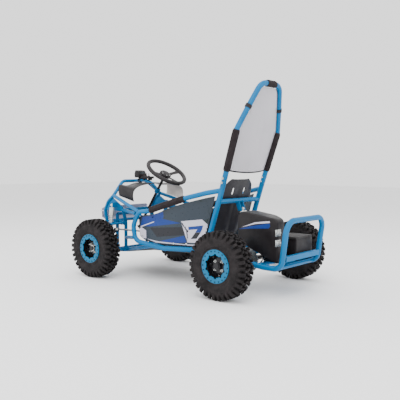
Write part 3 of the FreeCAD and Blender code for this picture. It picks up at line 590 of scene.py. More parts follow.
def sleeve(name, route, tube_r, node, seam_side):
    """A foam sleeve in a cloth cover: full in the middle, drawn in at both ends, with a sewn seam."""
    step = 0.005
    points = resample(rounded(route, 0.03, 8), step)
    length = step * (len(points) - 1)
    full = tube_r + 0.0048

    def radius_at(i, angle):
        s = i * step
        edge = min(s, length - s)
        hug = min(1.0, max(0.0, edge / 0.012)) ** 0.5
        r = tube_r + 0.0006 + (full - tube_r - 0.0006) * hug
        seam = math.cos((angle - seam_side) / 2) ** 60
        fold = noise.noise(points[i] * 90 + Vector((math.cos(angle), math.sin(angle), 0)) * 0.9)
        stitch = 0.0004 * math.sin(s * 900) * seam
        return r - 0.0022 * seam * hug + 0.0011 * fold * hug + stitch

    bm = bmesh.new()
    sweep(bm, points, radius_at, 40)
    pad = piece(name, bm, MAT["pad_foam"], replaces=[node])
    ends = [v.index for v in pad.data.vertices
            if min((v.co - points[0]).length, (v.co - points[-1]).length) < full + 0.004]
    cloth_puff(pad, 4.0, 14, 0.0016, ends)
    subdivide(pad)


def long_axis(points):
    """End centres of a straight sleeve, from its points: the two furthest clusters along its length."""
    middle = sum(points, Vector()) / len(points)
    far = max(points, key=lambda p: (p - middle).length)
    axis = (far - middle).normalized()
    for _ in range(8):
        axis = sum(((p - middle) * (p - middle).dot(axis) for p in points), Vector()).normalized()
    span = [(p - middle).dot(axis) for p in points]
    return middle + axis * min(span), middle + axis * max(span)


HOOP_TUBE_R = 0.014
RAIL_TUBE_R = 0.013
for part in islands(nodes["hoop_pads"]):
    start, end = long_axis(part)
    if abs(start.y + end.y) < 0.02:
        sleeve("hoop_pad_top", sorted((start, end), key=lambda p: p.y), HOOP_TUBE_R, "hoop_pads", 2.2)
        continue
    low_end, high_end = sorted((start, end), key=lambda p: p.z)
    rise = (high_end - low_end).normalized()
    inward = Vector((-0.30, -math.copysign(0.43, start.y), 0.93)).normalized()
    middle = high_end + rise * 0.012
    route = [low_end, middle, middle + (rise + inward * 0.5).normalized() * 0.022]
    sleeve("hoop_pad_left" if start.y > 0 else "hoop_pad_right", route, HOOP_TUBE_R, "hoop_pads", 2.2)

PAD_FRONT, PAD_BEND, PAD_REAR = (0.1725, 0.260, 0.387), (0.0525, 0.260, 0.425), (-0.0975, 0.245, 0.470)
for side, label in SIDES:
    front, bend, rear = (Vector((x, side * y, z)) for x, y, z in (PAD_FRONT, PAD_BEND, PAD_REAR))
    sleeve("rail_pad_" + label, [bend.lerp(front, 0.9), bend, bend.lerp(rear, 0.9)], RAIL_TUBE_R,
           "rail_pads", 3.6)

NET_LOW, NET_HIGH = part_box("net")


def hoop_x(z):
    """The hoop's plane leans back; its line follows the net's own corners."""
    t = (z - NET_LOW.z) / (NET_HIGH.z - NET_LOW.z)
    return NET_HIGH.x + (NET_LOW.x - NET_HIGH.x) * t


NET_EDGE = [(NET_LOW.z, 0.1625), (0.790, 0.1705), (0.822, 0.1735), (0.926, 0.1270), (1.010, 0.0855),
            (1.033, 0.0620)]


def net_half_width(z):
    """Half the net's width at a height, from its cut outline."""
    for (z0, y0), (z1, y1) in zip(NET_EDGE, NET_EDGE[1:]):
        if z <= z1:
            return y0 + (y1 - y0) * max(0.0, (z - z0) / (z1 - z0))
    return NET_EDGE[-1][1]


def net_sheet():
    """The hoop's net: a stretched sheet held along both legs and the top, with slack and light creases."""
    rows, columns = 64, 48
    top = NET_EDGE[-1][0]
    bm = bmesh.new()
    grid = []
    area = 0.0
    for i in range(rows + 1):
        z = NET_LOW.z + (top - NET_LOW.z) * i / rows
        half = net_half_width(z)
        area += 2 * half * (top - NET_LOW.z) / rows * 1.05
        row = []
        for k in range(columns + 1):
            u = 2 * k / columns - 1
            edge = (1 - u * u) * (1 - 0.55 * i / rows)
            crease = noise.noise(Vector((u * 2.2 + z * 3.0, z * 9.0 - u * 2.5, 1.7)))
            lift = 0.008 * edge + 0.0032 * crease * edge
            sag = -0.007 * (1 - u * u) * max(0.0, 1 - i / 6)
            row.append(bm.verts.new((hoop_x(z) + 0.001 - lift * 0.95, u * half, z + sag - lift * 0.3)))
        grid.append(row)
    quad_grid(bm, grid)
    bm.verts.index_update()
    pins = [v.index for row in grid for v in (row[0], row[1], row[-2], row[-1])]
    pins += [v.index for v in grid[-1]]
    net = piece("net_cloth", bm, MAT["net_grey"], replaces=["net"])
    cloth_puff(net, 0.0, 16, 0.006, pins)
    width = 2 * max(y for _, y in NET_EDGE)
    height = (top - NET_LOW.z) * 1.05
    hem_line = [v.co.copy() for v in net.data.vertices[:columns + 1]]
    subdivide(net)
    return net, hem_line, width, height, area


net, hem_line, net_width, net_height, net_area = net_sheet()


def binding(name, line, width, thick):
    """A folded tape along a line: a flat, slightly puffed band with rounded edges."""
    bm = bmesh.new()
    rings = []
    for centre, (tangent, _, _) in zip(line, frames_along(line)):
        across = tangent.cross(NET_NORMAL).normalized()
        out = across.cross(tangent).normalized()
        rings.append([centre + across * (math.cos(a) * width / 2) + out * (math.sin(a) * thick / 2)
                      for a in circle(12)])
    ring_loft(bm, rings)
    return piece(name, bm, EXTRA["strap"])


NET_NORMAL = Vector((1, 0, 0.32)).normalized()
hem = binding("net_hem", hem_line, 0.008, 0.0032)
for side, label in SIDES:
    line = []
    for k in range(34):
        z = NET_LOW.z + (NET_EDGE[-1][0] - NET_LOW.z) * k / 33
        line.append(Vector((hoop_x(z) + 0.001, side * net_half_width(z), z)))
    binding("net_edge_" + label, line, 0.005, 0.0026)


def strap_band(name, centre, axis, radius, width):
    """A hook-and-loop strap wound round a tube, with an overlapped end."""
    bm = bmesh.new()
    u, v = sides_of(axis)
    rings = []
    steps = 56
    turns = 1.18
    for k in range(steps + 1):
        a = 2 * math.pi * turns * k / steps
        r = radius + 0.0006 + 0.0016 * k / steps
        spoke = u * math.cos(a) + v * math.sin(a)
        rings.append([centre + spoke * (r + h) + axis * (w * width) for w, h in STRAP_SECTION])
    ring_loft(bm, rings)
    piece(name, bm, EXTRA["strap"], sharp=50)


STRAP_Z = 0.930
STRAP_SECTION = ((-0.5, 0), (-0.46, 0.0014), (0, 0.0018), (0.46, 0.0014), (0.5, 0), (0, -0.0002))
for side, label in SIDES:
    spot = Vector((hoop_x(STRAP_Z), side * (0.142 - 0.0018), STRAP_Z))
    along = Vector((-0.30, -side * 0.43, 0.93)).normalized()
    strap_band("hoop_strap_" + label, spot, along, HOOP_TUBE_R, 0.020)


# ---------------------------------------------------------------- seat

def cut_slots(obj, centres, radius, half):
    """Cut round-ended upright slots through a piece, along X."""
    bm = bmesh.new()
    for centre in centres:
        ring = [Vector((0, radius * math.cos(a), radius * math.sin(a) + math.copysign(half, math.sin(a))))
                for a in circle(20, 0.5)]
        ring_loft(bm, [[centre + X * x + p for p in ring] for x in (-0.08, 0.08)])
    mesh = bpy.data.meshes.new("slot_cutter")
    bmesh.ops.recalc_face_normals(bm, faces=bm.faces)
    bm.to_mesh(mesh)
    bm.free()
    cutter = bpy.data.objects.new("slot_cutter", mesh)
    bpy.context.scene.collection.objects.link(cutter)
    modifier = obj.modifiers.new("slots", "BOOLEAN")
    modifier.object = cutter
    modifier.solver = "EXACT"
    graph = bpy.context.evaluated_depsgraph_get()
    finished = bpy.data.meshes.new_from_object(obj.evaluated_get(graph))
    obj.modifiers.clear()
    obj.data = finished
    bpy.data.objects.remove(cutter)


def seat():
    """A moulded bucket seat: a swept shell with raised sides, a rolled edge and two harness slots."""
    low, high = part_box("seat_shell")
    cushion = [(high.x - 0.004, 0.048), (high.x - 0.030, 0.020), (high.x - 0.110, 0.010)]
    back = [(low.x + 0.150, 0.012), (low.x + 0.105, 0.050), (low.x + 0.074, 0.150), (low.x + 0.052, 0.240),
            (low.x + 0.026, 0.315), (low.x + 0.010, high.z - low.z - 0.003)]
    spine = [Vector((x, 0, low.z + up)) for x, up in cushion + back]
    line = resample(rounded(spine, 0.05, 6), 0.011)
    total = len(line) - 1
    columns = 44
    half_width = (high.y - low.y) / 2
    bm = bmesh.new()
    grid = []
    for i, (centre, (tangent, _, _)) in enumerate(zip(line, frames_along(line))):
        t = i / total
        inward = Y.cross(tangent).normalized()
        if inward.x + inward.z < 0:
            inward = -inward
        top = max(0.0, (t - 0.60) / 0.40)
        front = max(0.0, (0.10 - t) / 0.10)
        width = (half_width - 0.006) * (1 - 0.27 * top ** 2) * (1 - 0.10 * front ** 2)
        corner = 1 - 0.30 * max(0.0, (t - 0.95) / 0.05) ** 2
        depth = 0.052 * (math.sin(math.pi * min(1, t * 1.25)) ** 0.6 if t < 0.8 else 0.0) * (1 - top) + 0.008
        row = []
        for k in range(columns + 1):
            u = 2 * k / columns - 1
            rise = depth * abs(u) ** 4 + 0.004 * math.cos(u * math.pi * 3) * (1 - top) * (1 - abs(u))
            row.append(bm.verts.new(centre + inward * rise + Y * (u * width * corner)))
        grid.append(row)
    quad_grid(bm, grid)
    shell = piece("seat_bucket", bm, EXTRA["seat"], replaces=["seat_shell"])
    wall(shell, 0.0045, 0)
    bevel(shell, 0.0016, 2, 50)
    subdivide(shell)
    cut_slots(shell, [Vector((low.x + 0.03, y, 0.502)) for y in (-0.049, 0.049)], 0.0085, 0.010)
    auto_smooth(shell, 40)


seat()


# ---------------------------------------------------------------- steering wheel and display

STEER = joints["steering"]
HUB = Vector(STEER["pos_m"])
UP = Vector(STEER["axis"]).normalized()
AHEAD = Y.cross(UP).normalized()
WHEEL_LOW, WHEEL_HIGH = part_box("steering_wheel")
RIM_R = (WHEEL_HIGH.y - WHEEL_LOW.y) / 2 - 0.0120


def on_wheel(a, r, h=0.0):
    """A point on the wheel: angle from straight ahead, radius, height along the axis."""
    return HUB + (AHEAD * math.cos(a) + Y * math.sin(a)) * r + UP * h


def steering_rim():
    """The rim's foam grip: fuller at ten-to-two, with finger scallops underneath and a seam."""
    bm = bmesh.new()
    rings = []
    for a in circle(160):
        grip = 0.5 + 0.5 * math.cos(4 * (abs(math.sin(a)) - 1))
        ring = []
        for b in circle(22):
            scallop = max(0.0, -math.sin(b)) ** 2 * (0.5 + 0.5 * math.cos(a * 44))
            seam = max(0.0, -math.cos(b)) ** 30
            r = 0.0112 + 0.0007 * grip - 0.0007 * scallop - 0.0006 * seam
            ring.append(on_wheel(a, RIM_R + math.cos(b) * r, math.sin(b) * r))
        rings.append(ring)
    ring_loft(bm, rings + [rings[0]], cap=False)
    bmesh.ops.remove_doubles(bm, verts=bm.verts, dist=1e-6)
    piece("steering_rim", bm, EXTRA["grip"], "steering", replaces=["steering_wheel"])


def steering_spokes():
    """Three dished spokes and a round hub with a centre pad."""
    bm = bmesh.new()
    for a in (math.pi / 2, -math.pi / 2, math.pi):
        side = on_wheel(a + math.pi / 2, 1) - HUB
        rings = []
        for k in range(13):
            t = k / 12
            r = 0.020 + (RIM_R - 0.022) * t
            drop = -0.020 * (1 - t) ** 1.3 - 0.001
            wide = 0.0165 - 0.006 * math.sin(math.pi * t) + 0.002 * t
            centre = on_wheel(a, r, drop)
            rings.append([centre + side * (math.cos(b) * wide) + UP * (math.sin(b) * 0.0034)
                          for b in circle(16)])
        ring_loft(bm, rings)
    turned(bm, [(0.012, -0.028), (0.033, -0.027), (0.035, -0.024), (0.035, -0.012), (0.032, -0.009),
                (0.022, -0.0065), (0.010, -0.0055)], 40, HUB, AHEAD, Y, UP)
    piece("steering_spokes", bm, MAT["plastic_black"], "steering", sharp=50)
    bm = bmesh.new()
    for a in circle(6, 0.5):
        turned(bm, [(0.0035, -0.002), (0.0035, 0.0015), (0.0028, 0.0022), (0.0015, 0.0022), (0.0013, 0.001)],
               12, on_wheel(a, 0.0265, -0.0085), AHEAD, Y, UP)
    piece("steering_screws", bm, MAT["steel_zinc"], "steering", sharp=40)


steering_rim()
steering_spokes()


def rounded_box(name, low, high, radius, material, body="chassis", replaces=()):
    """A plain box with rounded edges."""
    bm = bmesh.new()
    bmesh.ops.create_cube(bm, size=1)
    size = high - low
    for vert in bm.verts:
        vert.co = Vector([low[i] + (vert.co[i] + 0.5) * size[i] for i in range(3)])
    bmesh.ops.bevel(bm, geom=bm.edges, offset=radius, segments=3, profile=0.6, affect="EDGES")
    piece(name, bm, material, body, replaces=replaces, sharp=45)


def display():
    """The console ahead of the wheel: a hooded case with a tilted screen, keys and a tube clamp."""
    low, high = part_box("display_box")
    case_low = Vector((low.x, low.y, high.z - 0.046))
    bm = bmesh.new()
    side = [(0.00, 0.00), (1.00, 0.00), (1.04, 0.55), (0.86, 1.00), (0.20, 0.92), (-0.04, 0.45)]
    depth, half_width = (high.x - low.x) * 0.96, (high.y - low.y) / 2
    rings = []
    for y, shrink in ((-1, 0.86), (-0.86, 1.0), (0.86, 1.0), (1, 0.86)):
        rings.append([case_low + Vector(((0.5 + (px - 0.5) * shrink) * depth, 0,
                                         (0.5 + (pz - 0.5) * shrink) * 0.0455)) + Y * ((y + 1) * half_width)
                      for px, pz in side])
    ring_loft(bm, rings)
    bevel(piece("display_case", bm, MAT["plastic_black"], replaces=["display_box"], sharp=40), 0.003, 3, 20)
    rounded_box("display_screen", Vector((low.x - 0.0006, -0.021, high.z - 0.034)),
                Vector((low.x + 0.003, 0.021, high.z - 0.010)), 0.001, EXTRA["lens"])
    bm = bmesh.new()
    for y in (-0.012, 0.0, 0.012):
        turned(bm, [(0.0032, 0), (0.0032, 0.0016), (0.0024, 0.0022)], 16,
               Vector((low.x + 0.001, y, high.z - 0.0395)), Y, Z, -X)
    piece("display_keys", bm, EXTRA["grip"], sharp=40)
    bm = bmesh.new()
    tube_z = 0.5435
    middle = (low.x + high.x) / 2
    for x in (middle - 0.010, middle + 0.004):
        rings = lathe_rings([(0.0104, 0), (0.0135, 0.0008), (0.0135, 0.0058), (0.0104, 0.0066)], 28,
                            Vector((x, 0, tube_z)), Y, Z, X)
        ring_loft(bm, rings + [rings[0]], cap=False)
    for x in (middle - 0.0068, middle + 0.0072):
        block(bm, x, 0, tube_z + 0.0125, case_low.z + 0.004, 0.003, 0.006)
    piece("display_clamp", bm, MAT["plastic_black"], sharp=40)


display()


def console():
    """The black bracket between the display and the column's upper bearing, with three toggles."""
    low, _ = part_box("display_box")
    rounded_box("console_bracket", Vector((low.x - 0.078, -0.021, 0.5555)),
                Vector((low.x + 0.002, 0.021, 0.569)), 0.004, MAT["plastic_black"])
    bm = bmesh.new()
    toggle = [(0.0068, 0), (0.0068, 0.003), (0.0052, 0.0045), (0.0030, 0.005), (0.0024, 0.013),
              (0.0034, 0.0165), (0.0022, 0.0185)]
    for dx, y in ((-0.022, 0.009), (-0.022, -0.009), (-0.052, 0.0)):
        turned(bm, toggle, 16, Vector((low.x + dx, y, 0.5685)), X, Y, Z)
    piece("console_toggles", bm, EXTRA["grip"], sharp=40)
    bm = bmesh.new()
    for x in (low.x - 0.062, low.x - 0.020):
        block(bm, x, 0, 0.545, 0.557, 0.004, 0.0145)
    piece("console_feet", bm, MAT["plastic_black"], sharp=40)


def cowl_painted_lit_face():
    """Painted light: a pale copy of the inner face of the cowl's right half, laid just inside it so that face
    looks lit.
    """
    centre_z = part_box("cowl")[0].z

    def inward(point):
        return Vector((0, -point.y, centre_z - point.z))

    bm = bmesh.new()
    bm.from_mesh(nodes["cowl"].data)
    bm.transform(nodes["cowl"].matrix_world)
    bm.normal_update()
    others = []
    for face in bm.faces:
        spot = face.calc_center_median()
        if spot.y >= -0.032 or face.normal.dot(inward(spot)) <= 0.01 or abs(face.normal.x) >= 0.5:
            others.append(face)
    bmesh.ops.delete(bm, geom=others, context="FACES")
    bmesh.ops.remove_doubles(bm, verts=bm.verts, dist=1e-5)
    for vert in bm.verts:
        vert.co += inward(vert.co).normalized() * 0.0016
    # a thin pale sheet of painted light just inside the cowl's right half
    wall(piece("cowl_painted_lit_face", bm, EXTRA["lit_face_paint"], sharp=40), 0.0010, 0)


console()
cowl_painted_lit_face()


# ---------------------------------------------------------------- moulded covers

COVER_LOW, COVER_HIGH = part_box("rear_cover")


def cover_point(u, v):
    """A place on the cover's side outline, as fractions of its box: u forward, v up."""
    return Vector((COVER_LOW.x + u * (COVER_HIGH.x - COVER_LOW.x), 0,
                   COVER_LOW.z + v * (COVER_HIGH.z - COVER_LOW.z)))


def rear_cover():
    """The drive cover: soft edges, a raised shoulder along the top and an open underside."""
    corners = [(0.0, 0.0, 0.012), (0.0, 0.50, 0.05), (0.022, 0.872, 0.022), (0.40, 0.932, 0.10),
               (0.872, 0.997, 0.030), (0.998, 0.940, 0.024), (0.992, 0.400, 0.012), (0.578, 0.215, 0.02)]
    outline = []
    points = [cover_point(u, v) for u, v, _ in corners]
    for k, (_, _, radius) in enumerate(corners):
        before, here, after = points[k - 1], points[k], points[(k + 1) % len(points)]
        a = here + (before - here).normalized() * min(radius, (before - here).length * 0.45)
        b = here + (after - here).normalized() * min(radius, (after - here).length * 0.45)
        for t in (s / 8 for s in range(9)):
            outline.append(a * (1 - t) ** 2 + here * 2 * t * (1 - t) + b * t ** 2)
    middle = cover_point(0.5, 0.55)
    edge = 0.016
    width = COVER_HIGH.y - COVER_LOW.y
    rings = []
    slices = [(0.0, 1.0)] + [(edge * (1 - math.cos(a)), 1 - math.sin(a))
                             for a in (0.3, 0.6, 0.9, 1.2, math.pi / 2)]
    rows = slices + [(width / 2, 0.0)] + [(width - depth, draw) for depth, draw in reversed(slices)]
    for depth, draw in rows:
        ring = []
        for p in outline:
            inward = (middle - p).normalized()
            low_edge = 0.25 if p.z < cover_point(0, 0.42).z and p.x > cover_point(0.02, 0).x else 1.0
            swell = 0.0015 * math.sin(math.pi * depth / width)
            back = max(0.0, 1 - (p.x - COVER_LOW.x) / 0.095)
            narrow = 0.052 * back * back * (3 - 2 * back) * (1 - depth / width)
            ring.append(p + inward * (draw * edge * 0.55 * low_edge - swell * 0.5) +
                        Y * (COVER_LOW.y + depth + narrow))
        rings.append(ring)
    bm = bmesh.new()
    ring_loft(bm, rings)
    bm.normal_update()
    gone = []
    for face in bm.faces:
        spot = face.calc_center_median()
        fore = (spot.x - COVER_LOW.x) / (COVER_HIGH.x - COVER_LOW.x)
        line = 0.37 * fore + (0.04 if fore < 0.62 else 0.06)
        if face.normal.z < -0.3 and (spot.z - COVER_LOW.z) / (COVER_HIGH.z - COVER_LOW.z) < line:
            gone.append(face)
    bmesh.ops.delete(bm, geom=gone, context="FACES")
    bmesh.ops.triangulate(bm, faces=[f for f in bm.faces if len(f.verts) > 4])
    return wall(piece("rear_cover_shell", bm, MAT["plastic_black"], "swing_arm", replaces=["rear_cover"],
                      sharp=38), 0.003, -1)


def tree_of(obj):
    """A lookup of the piece's faces as drawn, for laying prints and bolts on it."""
    graph = bpy.context.evaluated_depsgraph_get()
    return BVHTree.FromObject(obj.evaluated_get(graph), graph)


PRINT_STEP = 0.006


def print_on(name, tree, outline, side, colour, body, lift=0.0004):
    """A thin printed shape, given in x and z, laid on the outer side of a piece."""
    bm = bmesh.new()
    bm.faces.new([bm.verts.new((x, 0, z)) for x, z in outline])
    bmesh.ops.triangulate(bm, faces=bm.faces[:])
    for axis, values in ((X, [x for x, _ in outline]), (Z, [z for _, z in outline])):
        at = min(values) + PRINT_STEP
        while at < max(values):
            geometry = bm.verts[:] + bm.edges[:] + bm.faces[:]
            bmesh.ops.bisect_plane(bm, geom=geometry, plane_co=axis * at, plane_no=axis)
            at += PRINT_STEP
    bmesh.ops.remove_doubles(bm, verts=bm.verts, dist=1e-5)
    out = Y * side
    lost = []
    for vert in bm.verts:
        hit, _, _, _ = tree.ray_cast(vert.co + out * 0.6, -out, 1.2)
        if hit is None:
            lost.append(vert)
        else:
            vert.co = hit + out * lift
    bmesh.ops.delete(bm, geom=lost, context="VERTS")
    bm.normal_update()
    for face in bm.faces:
        if face.normal.y * side < 0:
            face.normal_flip()
    sheet = bmesh.ops.extrude_face_region(bm, geom=bm.faces[:])
    for item in sheet["geom"]:
        if isinstance(item, bmesh.types.BMVert):
            item.co -= out * (lift + 0.0002)
    bmesh.ops.recalc_face_normals(bm, faces=bm.faces)
    material = MAT[colour] if colour in MAT else EXTRA[colour]
    piece(name, bm, material, body, sharp=40)


cover_tree = tree_of(rear_cover())
SWOOSH = [(0.96, 0.625), (0.67, 0.705), (0.200, 0.790), (0.190, 0.730), (0.225, 0.690), (0.67, 0.655)]
SWOOSH_LINE = [(0.90, 0.665), (0.55, 0.790), (0.205, 0.835), (0.195, 0.800), (0.55, 0.755)]
for name, colour, shape in (("cover_swoosh", "print_blue", SWOOSH),
                            ("cover_swoosh_line", "panel_light", SWOOSH_LINE)):
    outline = [(cover_point(u, v).x, cover_point(u, v).z) for u, v in shape]
    print_on(name, cover_tree, outline, 1, colour, "swing_arm")


def cover_brackets():
    """Plated brackets and screws that hold the cover to the bumper's upright."""
    bm = bmesh.new()
    rear, side = COVER_LOW.x, COVER_HIGH.y
    for v in (0.42, 0.62):
        z = cover_point(0, v).z
        for dx, dy, half_x, half_y, half_z in ((0.0005, -0.012, 0.0016, 0.010, 0.016),
                                               (0.0005, 0.013, 0.0016, 0.010, 0.016),
                                               (0.00175, 0.003, 0.00125, 0.015, 0.010)):
            block(bm, rear - dx, side + dy, z - half_z, z + half_z, half_x, half_y)
        hex_head(bm, Vector((rear - 0.002, side - 0.012, z)), -X, 0.0062, 0.005)
    piece("cover_brackets", bm, MAT["steel_zinc"], "swing_arm")


cover_brackets()

low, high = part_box("battery_box")
rounded_box("battery_case", low, high - Vector((0.003, 0.003, 0.010)), 0.006, MAT["plastic_black"],
            "swing_arm", ["battery_box"])
rounded_box("battery_lid", Vector((low.x, low.y, high.z - 0.012)), high, 0.004, EXTRA["grip"], "swing_arm")


# ---------------------------------------------------------------- printed side panels

PANEL_LOW, PANEL_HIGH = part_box("side_panels")
FRONT_X = PANEL_HIGH.x
PANEL_Z = PANEL_LOW.z
# Each printed shape is given as distances back from the panel's front edge and up from its lower edge.
PANEL_PRINTS = [
    ("rear_field", "print_green", [(0.438, 0.245), (0.412, 0.262), (0.420, 0.003), (0.402, 0.003),
                                   (0.402, 0.020), (0.428, 0.030), (0.474, 0.082), (0.476, 0.118),
                                   (0.430, 0.156), (0.455, 0.170), (0.441, 0.256)]),
    ("upper_field", "panel_dark", [(0.187, 0.160), (0.160, 0.128), (0.300, 0.135), (0.430, 0.154),
                                   (0.455, 0.169), (0.441, 0.255), (0.330, 0.232), (0.187, 0.187)]),
    ("blue_field", "print_blue", [(0.013, 0.098), (0.084, 0.100), (0.300, 0.132), (0.160, 0.126),
                                  (0.187, 0.158), (0.187, 0.187), (0.090, 0.160), (0.030, 0.150)]),
    ("name_field", "print_black", [(0.086, 0.094), (0.303, 0.111), (0.330, 0.092), (0.307, 0.068),
                                   (0.133, 0.046)]),
    ("lower_field", "print_blue", [(0.133, 0.019), (0.221, 0.017), (0.318, 0.028), (0.307, 0.064)]),
    ("front_board", "panel_light", [(0.004, 0.084), (0.021, 0.092), (0.055, 0.076), (0.054, 0.031),
                                    (0.004, 0.032)]),
    ("wedge", "panel_light", [(0.013, 0.097), (0.118, 0.131), (0.118, 0.126), (0.017, 0.092)]),
    ("under_line", "panel_light", [(0.058, 0.031), (0.125, 0.015), (0.423, 0.012), (0.423, 0.021),
                                   (0.300, 0.018), (0.140, 0.022)]),
    ("number_board", "panel_light", [(0.300, 0.142), (0.412, 0.156), (0.452, 0.122), (0.446, 0.088),
                                     (0.420, 0.044), (0.414, 0.029), (0.322, 0.029), (0.334, 0.096)]),
]
SEVEN_TOP = [(0.337, 0.114), (0.418, 0.125), (0.411, 0.104), (0.402, 0.088), (0.373, 0.086), (0.385, 0.103),
             (0.337, 0.097)]
SEVEN_LEG = [(0.402, 0.0875), (0.377, 0.052), (0.344, 0.049), (0.373, 0.0855)]


def on_panel(shape):
    """A printed shape in the row frame."""
    return [(FRONT_X - back, PANEL_Z + up) for back, up in shape]


panel_tree = tree_of(nodes["side_panels"])
for side, label in SIDES:
    for layer, (name, colour, shape) in enumerate(PANEL_PRINTS):
        print_on(f"print_{name}_{label}", panel_tree, on_panel(shape), side, colour, "chassis",
                 0.00035 + 0.00015 * layer)
    for name, colour, shape in (("seven_top", "print_blue", SEVEN_TOP),
                                ("seven_leg", "print_black", SEVEN_LEG)):
        print_on(f"{name}_{label}", panel_tree, on_panel(shape), side, colour, "chassis", 0.0019)


def panel_bolts():
    """Domed screws on the panels."""
    bm = bmesh.new()
    for side in (1, -1):
        for back, up in ((0.489, 0.211), (0.468, 0.141), (0.236, 0.016), (0.313, 0.018), (0.028, 0.045)):
            start = Vector((FRONT_X - back, side * 0.5, PANEL_Z + up))
            hit, _, _, _ = panel_tree.ray_cast(start, Y * -side, 1.0)
            if hit is not None:
                turned(bm, [(0.0066, -0.001), (0.0066, 0.0008), (0.0048, 0.0024), (0.0022, 0.0034),
                            (0.0016, 0.0024)], 18, hit, X, Z, Y * side)
    piece("panel_screws", bm, MAT["steel_zinc"], sharp=40)


panel_bolts()


# ---------------------------------------------------------------- drive, brake and hardware

def wheel_of(node):
    """The centre and outer radius of a disc-shaped node."""
    low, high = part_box(node)
    return (low + high) / 2, (high.z - low.z) / 2


def chain():
    """A roller chain round both sprockets: outer and inner plates on rollers."""
    (big, big_r), (gear, small_r) = wheel_of("sprocket"), wheel_of("motor_pinion")
    big_r -= 0.0026
    small_r -= 0.0026
    gap = Vector((gear.x - big.x, 0, gear.z - big.z))
    heading = math.atan2(gap.z, gap.x)
    swing = math.acos((big_r - small_r) / gap.length)
    loop = []
    for centre, r, start, arc, count in ((big, big_r, heading + swing, 2 * math.pi - 2 * swing, 60),
                                         (gear, small_r, heading - swing, 2 * swing, 24)):
        for k in range(count):
            a = start + arc * k / (count - 1)
            loop.append(Vector((centre.x + r * math.cos(a), big.y, centre.z + r * math.sin(a))))
    loop.append(loop[0].copy())
    pitch = 0.008
    pins = resample(loop, pitch)[:-1]
    bm = bmesh.new()
    for k, (pin, after) in enumerate(zip(pins, pins[1:] + pins[:1])):
        turned(bm, [(0.0022, -0.0036), (0.0022, 0.0036)], 8, pin, X, Z, Y)
        half = (after - pin).length / 2
        along = (after - pin).normalized()
        up = along.cross(Y)
        middle = (pin + after) / 2
        for side in (-1, 1):
            off = side * (0.0040 if k % 2 else 0.0031)
            rings = []
            for t in (-0.0004, 0.0004):
                ring = []
                for b in circle(12):
                    wide = 0.0030 * math.sin(b) * (1 - 0.25 * (1 - abs(math.cos(b))))
                    ring.append(middle + along * (math.cos(b) * (half + 0.0026)) + up * wide + Y * (off + t))
                rings.append(ring)
            ring_loft(bm, rings)
    piece("drive_chain", bm, EXTRA["chain"], "swing_arm", sharp=40)


def caliper():
    """A two-piston caliper over the disc's upper rear edge, on a bracket to the arm's tube."""
    centre, edge = wheel_of("brake_disc")
    bm = bmesh.new()
    for side in (-1, 1):
        rings = []
        for y0, scale in ((0.0035, 0.92), (0.0050, 1.0), (0.0150, 1.0), (0.0185, 0.86)):
            ring = []
            for b in circle(24):
                r = 0.020 * (abs(math.cos(b)) ** 4 + abs(math.sin(b)) ** 4) ** -0.25 * scale
                ring.append(centre + Vector((-0.030 + r * 1.25 * math.cos(b), side * y0,
                                             edge * 0.80 + r * 0.72 * math.sin(b))))
            rings.append(ring)
        ring_loft(bm, rings)
        for dx in (-0.012, 0.012):
            spot = centre + Vector((-0.030 + dx, side * 0.0180, edge * 0.80))
            turned(bm, [(0.007, 0), (0.007, 0.002), (0.0055, 0.003), (0.003, 0.0022)], 20, spot,
                   X, Z, Y * side)
    for dx in (-0.018, 0.018):
        turned(bm, [(0.0045, -0.016), (0.0045, 0.016)], 12,
               centre + Vector((-0.030 + dx, 0, edge + 0.0045)), X, Z, Y)
    piece("brake_caliper", bm, MAT["aluminium"], "swing_arm", sharp=40)


chain()
caliper()


BEAD = 0.0028


def weld_bead(bm, centre, axis, radius):
    """A rippled bead round a tube where it meets another."""
    u, v = sides_of(axis)
    rings = []
    for k, a in enumerate(circle(64)):
        spoke = u * math.cos(a) + v * math.sin(a)
        fat = BEAD * (0.86 + 0.14 * math.sin(k * math.pi / 2))
        rings.append([centre + spoke * (radius + math.cos(b) * fat * 0.55) + axis * (math.sin(b) * fat)
                      for b in circle(8)])
    ring_loft(bm, rings + [rings[0]], cap=False)


def tube_welds(name, body, rows):
    """Beads at both ends of cross tubes. Each row is (x, z, half span, tube radius)."""
    bm = bmesh.new()
    for x, z, half, radius in rows:
        for side in (1, -1):
            weld_bead(bm, Vector((x, side * half, z)), Y, radius)
    bmesh.ops.remove_doubles(bm, verts=bm.verts, dist=1e-6)
    piece(name, bm, EXTRA["weld"], body, sharp=40)


LEG_HALF = 0.178 - HOOP_TUBE_R
ARM_HALF = 0.175 - RAIL_TUBE_R
tube_welds("welds_hoop_base", "chassis", [(hoop_x(z), z, LEG_HALF, 0.0127) for z in (0.452, 0.194)])
tube_welds("welds_swing_arm", "swing_arm",
           [(-0.3115, 0.172, ARM_HALF, 0.0112), (-0.4875, 0.1515, ARM_HALF, 0.0112),
            (-0.5935, 0.147, ARM_HALF, 0.0112)])


# ---------------------------------------------------------------- coil springs

def coil_spring(node, slide, wire, turns):
    """A coil round the damper, built at its rest length and put on no body."""
    axis = Vector(joints[slide]["axis"]).normalized()
    low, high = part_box(node)
    middle = (low + high) / 2
    outer = min(high.x - low.x, high.y - low.y) / 2
    length = (high.z - low.z - 2 * outer * math.sqrt(1 - axis.z ** 2)) / abs(axis.z)
    top = middle - axis * (length / 2 - wire)
    run = axis * (length - 2 * wire)
    u, v = sides_of(axis)
    steps = turns * 24
    points = []
    for k in range(steps + 1):
        turn = 2 * math.pi * turns * k / steps
        points.append(top + run * (k / steps) + (u * math.cos(turn) + v * math.sin(turn)) * (outer - wire))
    bm = bmesh.new()
    sweep(bm, points, lambda i, a: wire, sides=10)
    coil = piece("coil_" + node, bm, MAT["spring_steel"], None, replaces=[node])
    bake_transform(coil)


